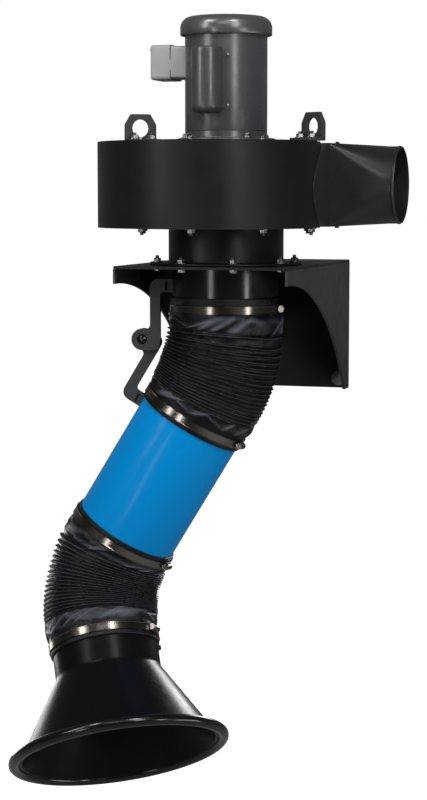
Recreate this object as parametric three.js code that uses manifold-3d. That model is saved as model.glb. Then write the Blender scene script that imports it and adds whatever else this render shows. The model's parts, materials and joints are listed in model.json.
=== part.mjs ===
// Wall-mounted fume extraction arm, in millimetres with +Z up.
// The origin is the centre of the wall plate's back face. +Y points into the wall and the arm hangs on
// the -Y side, leaning to -X as it was photographed.

import * as THREE from 'three';
import { mergeVertices } from 'three/addons/utils/BufferGeometryUtils.js';
import loadManifold from 'manifold-3d';

const wasm = await loadManifold();
wasm.setup();

const DEGREE = Math.PI / 180;

// Clearances
const SEAT = 0.3; // between pieces that are bolted, welded or pressed together
const RUN = 1.5; // between pieces that turn past each other
const PIN_FIT = 0.5; // round a pin in its hole
const OVERCUT = 1; // how far a cut runs past the face it opens
const OVERLAP = 0.5; // how far two shapes of one piece run into each other

// Facets round a full turn
const DUCT_ROUND = 24;
const HOSE_ROUND = 20;
const HOOD_ROUND = 32;
const MOTOR_ROUND = 24;
const SMALL_ROUND = 12;
const SHAFT_ROUND = 16;
const HEX = 6;

// Wall bracket, folded and welded from steel sheet
const BRACKET_REACH = 488;
const BRACKET_DROP = 265; // wall plate, from its top down
const BRACKET_RISE = 129; // top plate over the model's origin
const BRACKET_SHEET = 5;
const FAN_REACH = 317; // from the wall to the axis of the blower and the swivel
const GUSSET_NOSE_HEIGHT = 33;
const GUSSET_NOSE_LENGTH = 10;
const GUSSET_FOOT = 36; // depth from the wall at the lower end
const GUSSET_CURVE_SINK = 225; // how far the curve's centre lies below the foot
const ANCHOR_INSET_X = 16;
const ANCHOR_INSET_Z = 20;
const ANCHOR_SHANK = 6;
const ANCHOR_HEAD = 11;
const ANCHOR_HEAD_HEIGHT = 8;
const ANCHOR_WASHER = 14;
const ANCHOR_WASHER_THICK = 2.5;

// Ducting: tubes, hoses and clamps share the duct radius
const DUCT_RADIUS = 103;
const DUCT_WALL = 2;
const HOSE_WALL = 1.6;
const HOSE_RIB_HEIGHT = 4.5;
const HOSE_CUFF_SWELL = 1.2;
const HOSE_CUFF_NECK = 8; // from the cuff's swell to the first rib
const BAND_WIDTH = 15;
const BAND_THICK = 1.2;
const CLAMP_HOUSING_LENGTH = 24;
const CLAMP_HOUSING_WALL = 3; // straight side below the crown
const CLAMP_HOUSING_INSET = 1; // housing's edges inside the band's
const CLAMP_HEAD_LENGTH = 6;
const CLAMP_TURNS = [-6, -12, -12, -8]; // degrees round the duct, from the top clamp to the hood's

// Swivel: a lip on the swivel tube turns inside the spool, between a slide ring and a retaining ring
const SWIVEL_RUN = 0.5; // running gap round the tube and its lip
const SWIVEL_LIP_THICK = 4;
const SLIDE_RING_THICK = 2;
const RETAINER_THICK = 3;
const RETAINER_CATCH = 2; // how far the retaining ring reaches over the lip
const SPOOL_ROOM = 7.5; // from the tube's skin to the spool's skin
const SPOOL_WALL = 2;
const SPOOL_FOOT = 4;
const FLANGE_WIDTH = 36;
const FLANGE_BOLT_INSET = 14;
const FLANGE_BOLT_HOLE = 5;
const FLANGE_BOLTS = 8;
const SWIVEL_TUBE_DROP = 100; // tube's lower end below the plate's top
const SWIVEL_TURN = 7 * DEGREE; // turn of the arm's plane at rest

// Blower
const BLOWER_FLOOR = 70; // underside above the bracket plate
const BLOWER_HEIGHT = 163;
const BLOWER_SHEET = 2.5;
const SCROLL_START = 180; // radius at the tongue
const SCROLL_END = 290; // radius at the back, after three quarters of a turn
const THROAT_WIDTH = 165;
const OUTLET_FACE = 172; // plane of the square outlet, from the axis
const TRANSITION_LENGTH = 104;
const COLLAR_RADIUS = 76;
const COLLAR_LENGTH = 22;
const WHEEL_RADIUS = 148;
const WHEEL_EYE = 84;
const WHEEL_HEIGHT = 82;
const WHEEL_SHEET = 3;
const WHEEL_BLADES = 8;
const WHEEL_HUB = 24;
const WHEEL_HUB_DEPTH = 34;
const WHEEL_LIFT = 34; // wheel above the blower's floor
const SHROUD_RISE = 20; // shroud's rim above its eye
const BLADE_SWEEP = 42 * DEGREE;
const BLADE_CURL = 1.3;
const BLADE_INSET = 1; // blade's ends inside the eye and the rim
const INLET_CONE_FOOT = 8; // cone's foot outside the spool
const INLET_CONE_REACH = 5; // cone's end inside the wheel's eye

// Lifting lugs
const LUG_WIDTH = 62;
const LUG_HEIGHT = 54;
const LUG_THICK = 8;
const LUG_HOLE = 17;
const LUG_HOLE_COVER = 10; // plate above the hole
const LUG_BROW = 38; // width of the flat top
const LUG_CHAMFER = 20; // height of the cut corners
const LUG_FOOT = 38;
const LUG_FOOT_THICK = 6;
const LUG_RADIUS = 175; // lug's middle from the blower's axis
const LUG_TURN = 36 * DEGREE;

// Motor
const MOTOR_RADIUS = 78.5;
const MOTOR_WALL = 7;
const MOTOR_FLANGE_RIM = 15.5; // flange past the rolled frame
const MOTOR_FLANGE = MOTOR_RADIUS + MOTOR_FLANGE_RIM;
const MOTOR_FLANGE_THICK = 8;
const MOTOR_SPIGOT = 11;
const MOTOR_LENGTH = 180; // rolled frame
const MOTOR_BELL = 6;
const FAN_COVER_RIM = 9; // cover past the rolled frame
const FAN_COVER_RADIUS = MOTOR_RADIUS + FAN_COVER_RIM;
const FAN_COVER_HEIGHT = 29; // above the end bell
const FAN_COVER_SHEET = 2;
const FAN_COVER_CORNER = 20;
const FAN_COVER_SLOTS = 12;
const FAN_COVER_SLOT_START = 24; // from the motor's axis
const FAN_COVER_SLOT_INSET = 26; // from the cover's rim
const FAN_COVER_SLOT = [FAN_COVER_SLOT_START, FAN_COVER_RADIUS - FAN_COVER_SLOT_INSET];
const FAN_COVER_SLOT_WIDTH = 5;
const COVER_EAR_WIDTH = 16;
const SHAFT_RADIUS = 12.5;
const SHAFT_SHOULDER = 18.5;
const SHAFT_PAST_HUB = 5;
const SHAFT_TIP_ROOM = 5; // under the fan cover
const BEARING_RADIUS = 26;
const BEARING_WIDTH = 15;
const BEARING_HOUSING = 8; // wall round a bearing
const BEARING_SILL = 3;
const BEARING_GROOVE = [3, 2]; // half width and depth of the shield's groove
const STATOR_BORE = 44;
const STATOR_LENGTH = 84;
const AIR_GAP = 1;
const WINDING_LENGTH = 24;
const WINDING_INSET = 5; // from the stator's bore and from the frame
const WINDING_BEND = 5;
const COOLING_BLADES = 8;
const COOLING_BLADE_THICK = 2.5;
const COOLING_HUB = 22.5;
const COOLING_LIFT = 3; // above the end bell
const POD_RADIUS = 30;
const POD_LENGTH = 122;
const POD_STANDOFF = 13.5; // pod's own axis from the motor's skin
const POD_CENTRE = MOTOR_RADIUS + POD_STANDOFF;
const POD_BASE = 51; // pod's lower end above the blower
const POD_TURN = -5.5 * DEGREE;
const POD_WALL = 2;
const POD_CORNER = 18;
const CAPACITOR_RADIUS = 19;
const CAPACITOR_LENGTH = 84;
const CONDUIT_WIDTH = 74;
const CONDUIT_HEIGHT = 66;
const CONDUIT_BASE_DEPTH = 22.5; // base's outer face from the motor's skin
const CONDUIT_BASE_REACH = MOTOR_RADIUS + CONDUIT_BASE_DEPTH;
const CONDUIT_COVER_DEPTH = 39;
const CONDUIT_WALL = 2.5;
const CONDUIT_CORNER = 8;
const CONDUIT_BASE_WALL = 5;
const CONDUIT_LIFT = 117; // underside above the blower
const CONDUIT_ENTRY = 11;

// Friction link beside the upper hose
const PIVOT_STANDOFF = 61; // from the tube's skin to the pivot
const PIVOT_DROP = 147; // below the bracket plate's top
const LINK_THICK = 10;
const LINK_EAR = 21;
const LINK_BAR = [16, 36]; // bar's edges, from the pivot towards the tube
const LINK_TAB = [92, 118]; // tab's ends, from the pivot along the tube
const LINK_CORNER = 18;
const LINK_FILLET = 8; // between the bar and the tab
const LINK_SLOT = [5, 18];
const PIVOT_BOLT = 6;
const PIVOT_HEAD = 9.5;
const PIVOT_RECESS = 5;
const PIVOT_SOCKET = [4, 3]; // hex socket's radius and depth
const PIVOT_NUT = 10;
const PIVOT_NUT_COLLAR = [14, 2]; // radius and thickness
const PIVOT_TIP = 3; // thread showing past the nut
const FRICTION_DISC_THICK = 2;
const FRICTION_DISC_RADIUS = 19;
const ARM_LEAN = 31 * DEGREE;
const GUSSET_ROOM = 5; // from the pivot's circle to the bracket's side
const BRACKET_WIDTH = 2 * (DUCT_RADIUS + PIVOT_STANDOFF + GUSSET_ROOM);

// Places along the arm, from the pivot's level
const UPPER_HOSE_START = 62; // below the bracket plate's top
const UPPER_HOSE_CLAMP = 84;
const ARM_TUBE_START = 52;
const UPPER_HOSE_END = 88;
const ARM_CLAMP_INSET = 16; // clamp's middle from the hose's end
const LOWER_HOSE_START = 338;
const ARM_TUBE_END = 372;
const WRIST_REACH = 464;
const WRIST_PITCH = -47 * DEGREE;
const WRIST_YAW = -28 * DEGREE;
const UPPER_HOSE_RIBS = 20;
const UPPER_HOSE_CUFFS = [72, 56];
const LOWER_HOSE_RIBS = 22;
const LOWER_HOSE_CUFFS = [46, 66];

// Wrist joint inside the lower hose
const YOKE_PRONG_GAP = 44;
const YOKE_PRONG_THICK = 8;
const YOKE_PRONG_WIDTH = 18;
const YOKE_BAR = 10;
const CROSS_PIN = 5;
const CROSS_BODY = 13;

// Hood
const HOOD_NECK_START = 113; // from the wrist's centre
const HOOD_HOSE_END = 147;
const HOOD_CONE_START = 197;
const HOOD_RIM = 358;
const HOOD_RIM_RADIUS = 212;
const HOOD_WALL = 2;
const HOOD_LIP = 20; // flat flange round the mouth
const HOOD_LIP_HEIGHT = 10; // flange's edge turned back towards the neck
const HOOD_EDGE = 1.5; // rounding of the flange's front edge

// Finishes
const FINISHES = {
  blackPaint: { color: 0x17181a, roughness: 0.42, metalness: 0.1 },
  greyEnamel: { color: 0x4b4c4f, roughness: 0.35, metalness: 0.2 },
  bluePaint: { color: 0x0a78bd, roughness: 0.25, metalness: 0.1 },
  darkLink: { color: 0x3a3b3d, roughness: 0.55, metalness: 0.3 },
  hoseFabric: { color: 0x1d2026, roughness: 0.85, metalness: 0 },
  brightSteel: { color: 0xb6b8ba, roughness: 0.3, metalness: 1 },
  plainSteel: { color: 0x86898c, roughness: 0.45, metalness: 1 },
  castAlloy: { color: 0xa4a6a8, roughness: 0.55, metalness: 0.9 },
  copper: { color: 0xa4552c, roughness: 0.4, metalness: 0.9 },
  whitePlastic: { color: 0xe6e4dc, roughness: 0.5, metalness: 0 },
  darkPlastic: { color: 0x222326, roughness: 0.5, metalness: 0 },
};

// Geometry helpers

// One skin with shared corners and no collapsed faces
function weld(geometry) {
  const bare = geometry.clone();
  bare.deleteAttribute('normal');
  bare.deleteAttribute('uv');
  const merged = mergeVertices(bare, 1e-3);
  const corners = merged.index.array;
  const kept = [];
  for (let start = 0; start < corners.length; start += 3) {
    const [a, b, c] = corners.slice(start, start + 3);
    if (a !== b && b !== c && c !== a) {
      kept.push(a, b, c);
    }
  }
  merged.setIndex(kept);
  merged.computeVertexNormals();
  return merged;
}

function toSolid(geometry) {
  const skin = weld(geometry);
  const vertProperties = Float32Array.from(skin.attributes.position.array);
  const triVerts = Uint32Array.from(skin.index.array);
  return new wasm.Manifold(new wasm.Mesh({ numProp: 3, vertProperties, triVerts }));
}

function toGeometry(solid) {
  const mesh = solid.getMesh();
  const geometry = new THREE.BufferGeometry();
  geometry.setAttribute('position', new THREE.BufferAttribute(mesh.vertProperties, 3));
  geometry.setIndex([...mesh.triVerts]);
  geometry.computeVertexNormals();
  return geometry;
}

function join(first, ...others) {
  return toGeometry(others.reduce((whole, other) => whole.add(toSolid(other)), toSolid(first)));
}

function common(first, second) {
  return toGeometry(toSolid(first).intersect(toSolid(second)));
}

function cut(base, ...tools) {
  return toGeometry(tools.reduce((rest, tool) => rest.subtract(toSolid(tool)), toSolid(base)));
}

// Solid of revolution about Z. The profile lists [radius, height] with its inside on the left.
function revolve(profile, segments = DUCT_ROUND) {
  const points = profile.map(([radius, height]) => new THREE.Vector2(radius, height));
  if (points[0].x > 0) {
    points.push(points[0].clone());
  }
  const geometry = new THREE.LatheGeometry(points, segments);
  geometry.rotateX(Math.PI / 2);
  return geometry;
}

// Radius of a faceted bore whose flats still clear a round piece, however the two are turned
function boreAround(radius, gap, segments) {
  return (radius + gap) / Math.cos(Math.PI / segments);
}

// Distance of a faceted skin from its axis, in a direction counted from one of its corners
function skinAt(radius, turn, segments) {
  const half = Math.PI / segments;
  const fromFlat = (Math.abs(turn) % (2 * half)) - half;
  return (radius * Math.cos(half)) / Math.cos(fromFlat);
}

function ring(inner, outer, bottom, top, segments = DUCT_ROUND) {
  return revolve([[inner, bottom], [outer, bottom], [outer, top], [inner, top]], segments);
}

function disc(radius, bottom, top, segments = DUCT_ROUND) {
  return revolve([[0, bottom], [radius, bottom], [radius, top], [0, top]], segments);
}

// Round or six-sided rod between two heights, moved to a place in plan
function post(radius, bottom, top, x = 0, y = 0, segments = SMALL_ROUND) {
  return disc(radius, bottom, top, segments).translate(x, y, 0);
}

function extrude(shape, depth, curveSegments = 4) {
  return new THREE.ExtrudeGeometry(shape, { depth, bevelEnabled: false, curveSegments });
}

function box(x0, x1, y0, y1, z0, z1) {
  const geometry = new THREE.BoxGeometry(x1 - x0, y1 - y0, z1 - z0);
  return geometry.translate((x0 + x1) / 2, (y0 + y1) / 2, (z0 + z1) / 2);
}

// Turns a flat drawing's x, y and depth to the three directions given by its first two
function stand(geometry, across, up) {
  const turn = new THREE.Matrix4().makeBasis(across, up, across.clone().cross(up));
  return geometry.applyMatrix4(turn);
}

const AXIS_X = new THREE.Vector3(1, 0, 0);
const AXIS_Y = new THREE.Vector3(0, 1, 0);
const AXIS_Z = new THREE.Vector3(0, 0, 1);

function rectangle(x0, y0, x1, y1) {
  const shape = new THREE.Shape();
  shape.moveTo(x0, y0);
  shape.lineTo(x1, y0);
  shape.lineTo(x1, y1);
  shape.lineTo(x0, y1);
  return shape;
}

function roundedRectangle(width, height, corner) {
  const shape = new THREE.Shape();
  const x = width / 2 - corner;
  const y = height / 2 - corner;
  shape.absarc(x, y, corner, 0, 90 * DEGREE);
  shape.absarc(-x, y, corner, 90 * DEGREE, 180 * DEGREE);
  shape.absarc(-x, -y, corner, 180 * DEGREE, 270 * DEGREE);
  shape.absarc(x, -y, corner, 270 * DEGREE, 360 * DEGREE);
  return shape;
}

function roundHole(x, y, radius, segments = SMALL_ROUND) {
  const points = Array.from({ length: segments }, (_, step) => {
    const angle = (-step * 360 * DEGREE) / segments;
    return new THREE.Vector2(x + radius * Math.cos(angle), y + radius * Math.sin(angle));
  });
  return new THREE.Path(points);
}

// Closed skin through rings of points: each ring joins the next, and the last joins the first
function wrapRings(rings) {
  const count = rings[0].length;
  const positions = rings.flat().flatMap((point) => point.toArray());
  const faces = [];
  rings.forEach((points, index) => {
    const here = index * count;
    const there = ((index + 1) % rings.length) * count;
    for (let step = 0; step < count; step += 1) {
      const after = (step + 1) % count;
      faces.push(here + step, here + after, there + after);
      faces.push(here + step, there + after, there + step);
    }
  });
  const geometry = new THREE.BufferGeometry();
  geometry.setAttribute('position', new THREE.Float32BufferAttribute(positions, 3));
  geometry.setIndex(faces);
  return weld(geometry);
}

function piece(group, name, geometry, finish) {
  const mesh = new THREE.Mesh(weld(geometry), new THREE.MeshStandardMaterial(FINISHES[finish]));
  mesh.name = name;
  group.add(mesh);
  return mesh;
}

// Scene graph: every group below is the frame of one carrier or one joint

const extractor = new THREE.Group();

const bracket = new THREE.Group();
bracket.position.z = BRACKET_RISE;
extractor.add(bracket);

const fanAxis = new THREE.Group();
fanAxis.position.y = -FAN_REACH;
bracket.add(fanAxis);

const motorStand = new THREE.Group();
motorStand.position.z = BLOWER_FLOOR + BLOWER_HEIGHT + SEAT;
fanAxis.add(motorStand);

const swivel = new THREE.Group();
swivel.rotation.z = SWIVEL_TURN;
fanAxis.add(swivel);

const pivotOffset = DUCT_RADIUS + PIVOT_STANDOFF;
const pivot = new THREE.Group();
pivot.position.set(-pivotOffset, 0, -PIVOT_DROP);
swivel.add(pivot);

const arm = new THREE.Group();
arm.rotation.y = ARM_LEAN;
pivot.add(arm);

const armAxis = new THREE.Group();
armAxis.position.x = pivotOffset;
arm.add(armAxis);

const gimbal = new THREE.Group();
gimbal.position.z = -WRIST_REACH;
gimbal.rotation.y = WRIST_PITCH;
armAxis.add(gimbal);

const hood = new THREE.Group();
hood.rotation.x = WRIST_YAW;
gimbal.add(hood);

// Wall bracket

const spoolRadius = DUCT_RADIUS + SPOOL_ROOM;
const spoolBore = spoolRadius - SPOOL_WALL;
const flangeRadius = spoolRadius + FLANGE_WIDTH;
const boltCircle = flangeRadius - FLANGE_BOLT_INSET;
const boltAngles = Array.from({ length: FLANGE_BOLTS }, (_, k) => ((k + 0.5) * 2 * Math.PI) / FLANGE_BOLTS);
const ductBore = boreAround(DUCT_RADIUS, SWIVEL_RUN, DUCT_ROUND);

function flangeBoltHoles(bottom, top) {
  return boltAngles.map((angle) => {
    const x = boltCircle * Math.cos(angle);
    const y = boltCircle * Math.sin(angle);
    return post(FLANGE_BOLT_HOLE, bottom - OVERCUT, top + OVERCUT, x, y, HEX);
  });
}

function anchorPlaces() {
  const x = BRACKET_WIDTH / 2 - BRACKET_SHEET - ANCHOR_INSET_X;
  const top = -BRACKET_SHEET - ANCHOR_INSET_Z;
  const bottom = -BRACKET_DROP + ANCHOR_INSET_Z;
  return [[-x, top], [x, top], [-x, bottom], [x, bottom]];
}

function wallPlate() {
  const shape = rectangle(-BRACKET_WIDTH / 2, -BRACKET_DROP, BRACKET_WIDTH / 2, 0);
  anchorPlaces().forEach(([x, z]) => shape.holes.push(roundHole(x, z, ANCHOR_SHANK + PIN_FIT)));
  return stand(extrude(shape, BRACKET_SHEET), AXIS_X, AXIS_Z);
}

function wallAnchor(x, z) {
  const face = BRACKET_SHEET + SEAT;
  const headBottom = face + ANCHOR_WASHER_THICK;
  const shank = post(ANCHOR_SHANK, SEAT, headBottom + OVERLAP);
  const washer = post(ANCHOR_WASHER, face, headBottom);
  const head = post(ANCHOR_HEAD, headBottom - OVERLAP, headBottom + ANCHOR_HEAD_HEIGHT, 0, 0, HEX);
  return join(washer, shank, head).rotateX(90 * DEGREE).translate(x, 0, z);
}

function bracketTopPlate() {
  const rear = -BRACKET_SHEET - SEAT;
  const shape = rectangle(-BRACKET_WIDTH / 2, -BRACKET_REACH, BRACKET_WIDTH / 2, rear);
  const plate = extrude(shape, BRACKET_SHEET).translate(0, 0, -BRACKET_SHEET);
  const bore = disc(ductBore, -BRACKET_SHEET - OVERCUT, OVERCUT);
  const holes = [bore, ...flangeBoltHoles(-BRACKET_SHEET, 0)];
  return cut(plate, ...holes.map((hole) => hole.translate(0, -FAN_REACH, 0)));
}

// Side sheet whose lower edge sweeps from the nose to the foot in one elliptical curve
function gusset(side) {
  const top = -BRACKET_SHEET - SEAT;
  const wall = BRACKET_SHEET + SEAT;
  const centre = BRACKET_REACH - GUSSET_NOSE_LENGTH;
  const sink = BRACKET_DROP + GUSSET_CURVE_SINK;
  const radiusZ = sink - GUSSET_NOSE_HEIGHT;
  const endAngle = Math.PI - Math.asin(GUSSET_CURVE_SINK / radiusZ);
  const radiusY = (centre - GUSSET_FOOT) / -Math.cos(endAngle);
  const shape = new THREE.Shape();
  shape.moveTo(wall, -BRACKET_DROP);
  shape.lineTo(wall, top);
  shape.lineTo(BRACKET_REACH, top);
  shape.lineTo(BRACKET_REACH, -GUSSET_NOSE_HEIGHT);
  shape.absellipse(centre, -sink, radiusY, radiusZ, 90 * DEGREE, endAngle);
  const sheet = stand(extrude(shape, BRACKET_SHEET, 16), AXIS_Y.clone().negate(), AXIS_Z);
  const outer = side * (BRACKET_WIDTH / 2);
  return sheet.translate(side > 0 ? outer : outer + BRACKET_SHEET, 0, 0);
}

piece(bracket, 'wall_plate', wallPlate(), 'blackPaint');
piece(bracket, 'bracket_top_plate', bracketTopPlate(), 'blackPaint');
piece(bracket, 'gusset_left', gusset(-1), 'blackPaint');
piece(bracket, 'gusset_right', gusset(1), 'blackPaint');
anchorPlaces().forEach(([x, z], index) => {
  piece(bracket, `wall_anchor_${index + 1}`, wallAnchor(x, z), 'brightSteel');
});

// Swivel bearing and inlet spool

const lipRadius = spoolBore * Math.cos(Math.PI / DUCT_ROUND) - SWIVEL_RUN;
const lipBottom = SEAT + SLIDE_RING_THICK + SEAT;
const lipTop = lipBottom + SWIVEL_LIP_THICK;
const retainerBottom = lipTop + SWIVEL_RUN;
const spoolTop = BLOWER_FLOOR - SEAT;

function retainingRing() {
  return ring(lipRadius - RETAINER_CATCH, spoolBore - SEAT, retainerBottom, retainerBottom + RETAINER_THICK);
}

function inletSpool() {
  const footTop = SEAT + SPOOL_FOOT;
  const body = revolve([
    [spoolBore, SEAT],
    [flangeRadius, SEAT],
    [flangeRadius, footTop],
    [spoolRadius, footTop],
    [spoolRadius, spoolTop],
    [spoolBore, spoolTop],
  ]);
  return cut(body, ...flangeBoltHoles(SEAT, footTop));
}

function swivelTube() {
  const bore = DUCT_RADIUS - DUCT_WALL;
  return revolve([
    [bore, -SWIVEL_TUBE_DROP],
    [DUCT_RADIUS, -SWIVEL_TUBE_DROP],
    [DUCT_RADIUS, lipBottom],
    [lipRadius, lipBottom],
    [lipRadius, lipTop],
    [bore, lipTop],
  ]);
}

piece(fanAxis, 'retaining_ring', retainingRing(), 'plainSteel');
piece(fanAxis, 'slide_ring', ring(ductBore, lipRadius, SEAT, SEAT + SLIDE_RING_THICK), 'whitePlastic');
piece(fanAxis, 'inlet_spool', inletSpool(), 'blackPaint');
piece(swivel, 'swivel_tube', swivelTube(), 'blackPaint');

// Blower casing

const throatFront = SCROLL_END - THROAT_WIDTH; // throat's side nearer the axis, behind the tongue
const casingFloor = BLOWER_FLOOR + BLOWER_SHEET + SEAT;
const casingTop = BLOWER_FLOOR + BLOWER_HEIGHT - BLOWER_SHEET - SEAT;

// Runs from the outlet's front corner to the tongue, clockwise round the wheel, then along the back
function scrollLine(inset) {
  const front = throatFront + inset;
  const tongueRadius = SCROLL_START - inset;
  const tongueTurn = -Math.asin(front / tongueRadius);
  const lastTurn = 270 * DEGREE;
  const steps = 40;
  const points = [new THREE.Vector2(OUTLET_FACE, front)];
  for (let step = 0; step <= steps; step += 1) {
    const turn = tongueTurn + ((lastTurn - tongueTurn) * step) / steps;
    const growth = (SCROLL_END - SCROLL_START) * Math.max(0, turn / lastTurn);
    const radius = SCROLL_START + growth - inset;
    points.push(new THREE.Vector2(radius * Math.cos(turn), -radius * Math.sin(turn)));
  }
  points.push(new THREE.Vector2(OUTLET_FACE, SCROLL_END - inset));
  return points;
}

function casingPlate(bottom, boreRadius) {
  const shape = new THREE.Shape(scrollLine(0).reverse());
  shape.holes.push(roundHole(0, 0, boreRadius, DUCT_ROUND));
  return extrude(shape, BLOWER_SHEET).translate(0, 0, bottom);
}

function scrollWall() {
  const shape = new THREE.Shape([...scrollLine(0), ...scrollLine(BLOWER_SHEET).reverse()]);
  return extrude(shape, casingTop - casingFloor).translate(0, 0, casingFloor);
}

// Square at the blower, round at the collar: each corner of the square fans out to a quarter circle
function outletTransition() {
  const perCorner = 8;
  const count = 4 * perCorner;
  const middleY = (throatFront + SCROLL_END) / 2;
  const middleZ = BLOWER_FLOOR + BLOWER_HEIGHT / 2;
  const start = OUTLET_FACE + SEAT;
  const end = start + TRANSITION_LENGTH;
  const section = (x, place) =>
    Array.from({ length: count }, (_, step) => {
      const angle = ((step + 0.5) * 2 * Math.PI) / count;
      const [y, z] = place(angle);
      return new THREE.Vector3(x, middleY + y, middleZ + z);
    });
  const square = (x, inset) =>
    section(x, (angle) => [
      Math.sign(Math.cos(angle)) * (THROAT_WIDTH / 2 - inset),
      Math.sign(Math.sin(angle)) * (BLOWER_HEIGHT / 2 - inset),
    ]);
  const round = (x, inset) =>
    section(x, (angle) => [
      (COLLAR_RADIUS - inset) * Math.cos(angle),
      (COLLAR_RADIUS - inset) * Math.sin(angle),
    ]);
  return wrapRings([
    square(start, 0),
    round(end, 0),
    round(end + COLLAR_LENGTH, 0),
    round(end + COLLAR_LENGTH, BLOWER_SHEET),
    round(end, BLOWER_SHEET),
    square(start, BLOWER_SHEET),
  ]);
}

const coneFoot = casingFloor;
const eyeLevel = BLOWER_FLOOR + WHEEL_LIFT;

function inletCone() {
  const throat = WHEEL_EYE - 2 * RUN - BLOWER_SHEET;
  const mouth = spoolBore - BLOWER_SHEET;
  const foot = spoolRadius + INLET_CONE_FOOT;
  const rise = eyeLevel + INLET_CONE_REACH - coneFoot;
  const inner = [];
  const outer = [];
  const steps = 3;
  for (let step = 0; step <= steps; step += 1) {
    const angle = (step / steps) * 90 * DEGREE;
    const radius = throat + (mouth - throat) * (1 - Math.sin(angle));
    const height = coneFoot + rise * (1 - Math.cos(angle));
    inner.push([radius, height]);
    outer.push([radius + BLOWER_SHEET, height]);
  }
  const footTop = coneFoot + BLOWER_SHEET;
  const skirt = outer.filter(([, height]) => height > footTop);
  return revolve([[foot, coneFoot], [foot, footTop], ...skirt, ...inner.reverse()], MOTOR_ROUND);
}

function liftingLug() {
  const half = LUG_WIDTH / 2;
  const shoulder = LUG_HEIGHT - LUG_CHAMFER;
  const brow = LUG_BROW / 2;
  const shape = new THREE.Shape();
  shape.moveTo(-half, 0);
  shape.lineTo(half, 0);
  shape.lineTo(half, shoulder);
  shape.lineTo(brow, LUG_HEIGHT);
  shape.lineTo(-brow, LUG_HEIGHT);
  shape.lineTo(-half, shoulder);
  shape.holes.push(roundHole(0, LUG_HEIGHT - LUG_HOLE - LUG_HOLE_COVER, LUG_HOLE));
  const upright = stand(extrude(shape, LUG_THICK), AXIS_X, AXIS_Z);
  const foot = box(-half, half, -LUG_FOOT, -OVERLAP, 0, LUG_FOOT_THICK);
  return join(upright, foot);
}

piece(fanAxis, 'blower_bottom_plate', casingPlate(BLOWER_FLOOR, spoolBore), 'blackPaint');
piece(fanAxis, 'blower_scroll', scrollWall(), 'blackPaint');
const topPlateFloor = BLOWER_FLOOR + BLOWER_HEIGHT - BLOWER_SHEET;
piece(fanAxis, 'blower_top_plate', casingPlate(topPlateFloor, BEARING_RADIUS), 'blackPaint');
piece(fanAxis, 'outlet_transition', outletTransition(), 'blackPaint');
piece(fanAxis, 'inlet_cone', inletCone(), 'plainSteel');
[['left', -1], ['right', 1]].forEach(([name, side]) => {
  const lug = piece(motorStand, `lifting_lug_${name}`, liftingLug(), 'darkLink');
  lug.position.x = side * LUG_RADIUS;
  lug.rotation.z = -side * LUG_TURN;
});

// Blower wheel: backward-curved blades between a back plate and a shroud

function wheelBlade(bottom, top) {
  const inner = WHEEL_EYE + BLADE_INSET;
  const outer = WHEEL_RADIUS - BLADE_INSET;
  const steps = 3;
  const side = (offset) =>
    Array.from({ length: steps + 1 }, (_, step) => {
      const share = step / steps;
      const radius = inner + (outer - inner) * share;
      const angle = BLADE_SWEEP * share ** BLADE_CURL + offset / radius;
      return new THREE.Vector2(radius * Math.cos(angle), radius * Math.sin(angle));
    });
  const shape = new THREE.Shape([...side(-WHEEL_SHEET / 2), ...side(WHEEL_SHEET / 2).reverse()]);
  return extrude(shape, top - bottom).translate(0, 0, bottom);
}

function impeller() {
  const back = eyeLevel + WHEEL_HEIGHT;
  const shroudRim = eyeLevel + SHROUD_RISE;
  const bore = SHAFT_RADIUS + SEAT;
  const hubBottom = back - WHEEL_HUB_DEPTH;
  const plate = revolve([
    [bore, hubBottom],
    [WHEEL_HUB, hubBottom],
    [WHEEL_HUB, back],
    [WHEEL_RADIUS, back],
    [WHEEL_RADIUS, back + WHEEL_SHEET],
    [bore, back + WHEEL_SHEET],
  ], MOTOR_ROUND);
  const shroud = revolve([
    [WHEEL_EYE, eyeLevel],
    [WHEEL_EYE + WHEEL_SHEET, eyeLevel],
    [WHEEL_RADIUS, shroudRim - WHEEL_SHEET],
    [WHEEL_RADIUS, shroudRim],
    [WHEEL_EYE, eyeLevel + WHEEL_SHEET],
  ], MOTOR_ROUND);
  const blade = wheelBlade(shroudRim - WHEEL_SHEET / 2, back + WHEEL_SHEET / 2);
  const root = wheelBlade(eyeLevel + WHEEL_SHEET, shroudRim);
  const slope = revolve([
    [WHEEL_EYE - OVERCUT, eyeLevel + WHEEL_SHEET / 2],
    [WHEEL_RADIUS + OVERCUT, shroudRim - WHEEL_SHEET / 2],
    [WHEEL_RADIUS + OVERCUT, shroudRim + OVERCUT],
    [WHEEL_EYE - OVERCUT, shroudRim + OVERCUT],
  ], MOTOR_ROUND);
  const fullBlade = join(blade, common(root, slope));
  const blades = Array.from({ length: WHEEL_BLADES }, (_, k) =>
    fullBlade.clone().rotateZ((k * 2 * Math.PI) / WHEEL_BLADES));
  return join(plate, shroud, ...blades);
}

piece(fanAxis, 'impeller', impeller(), 'plainSteel');

// Motor, measured up from the blower's top

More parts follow.
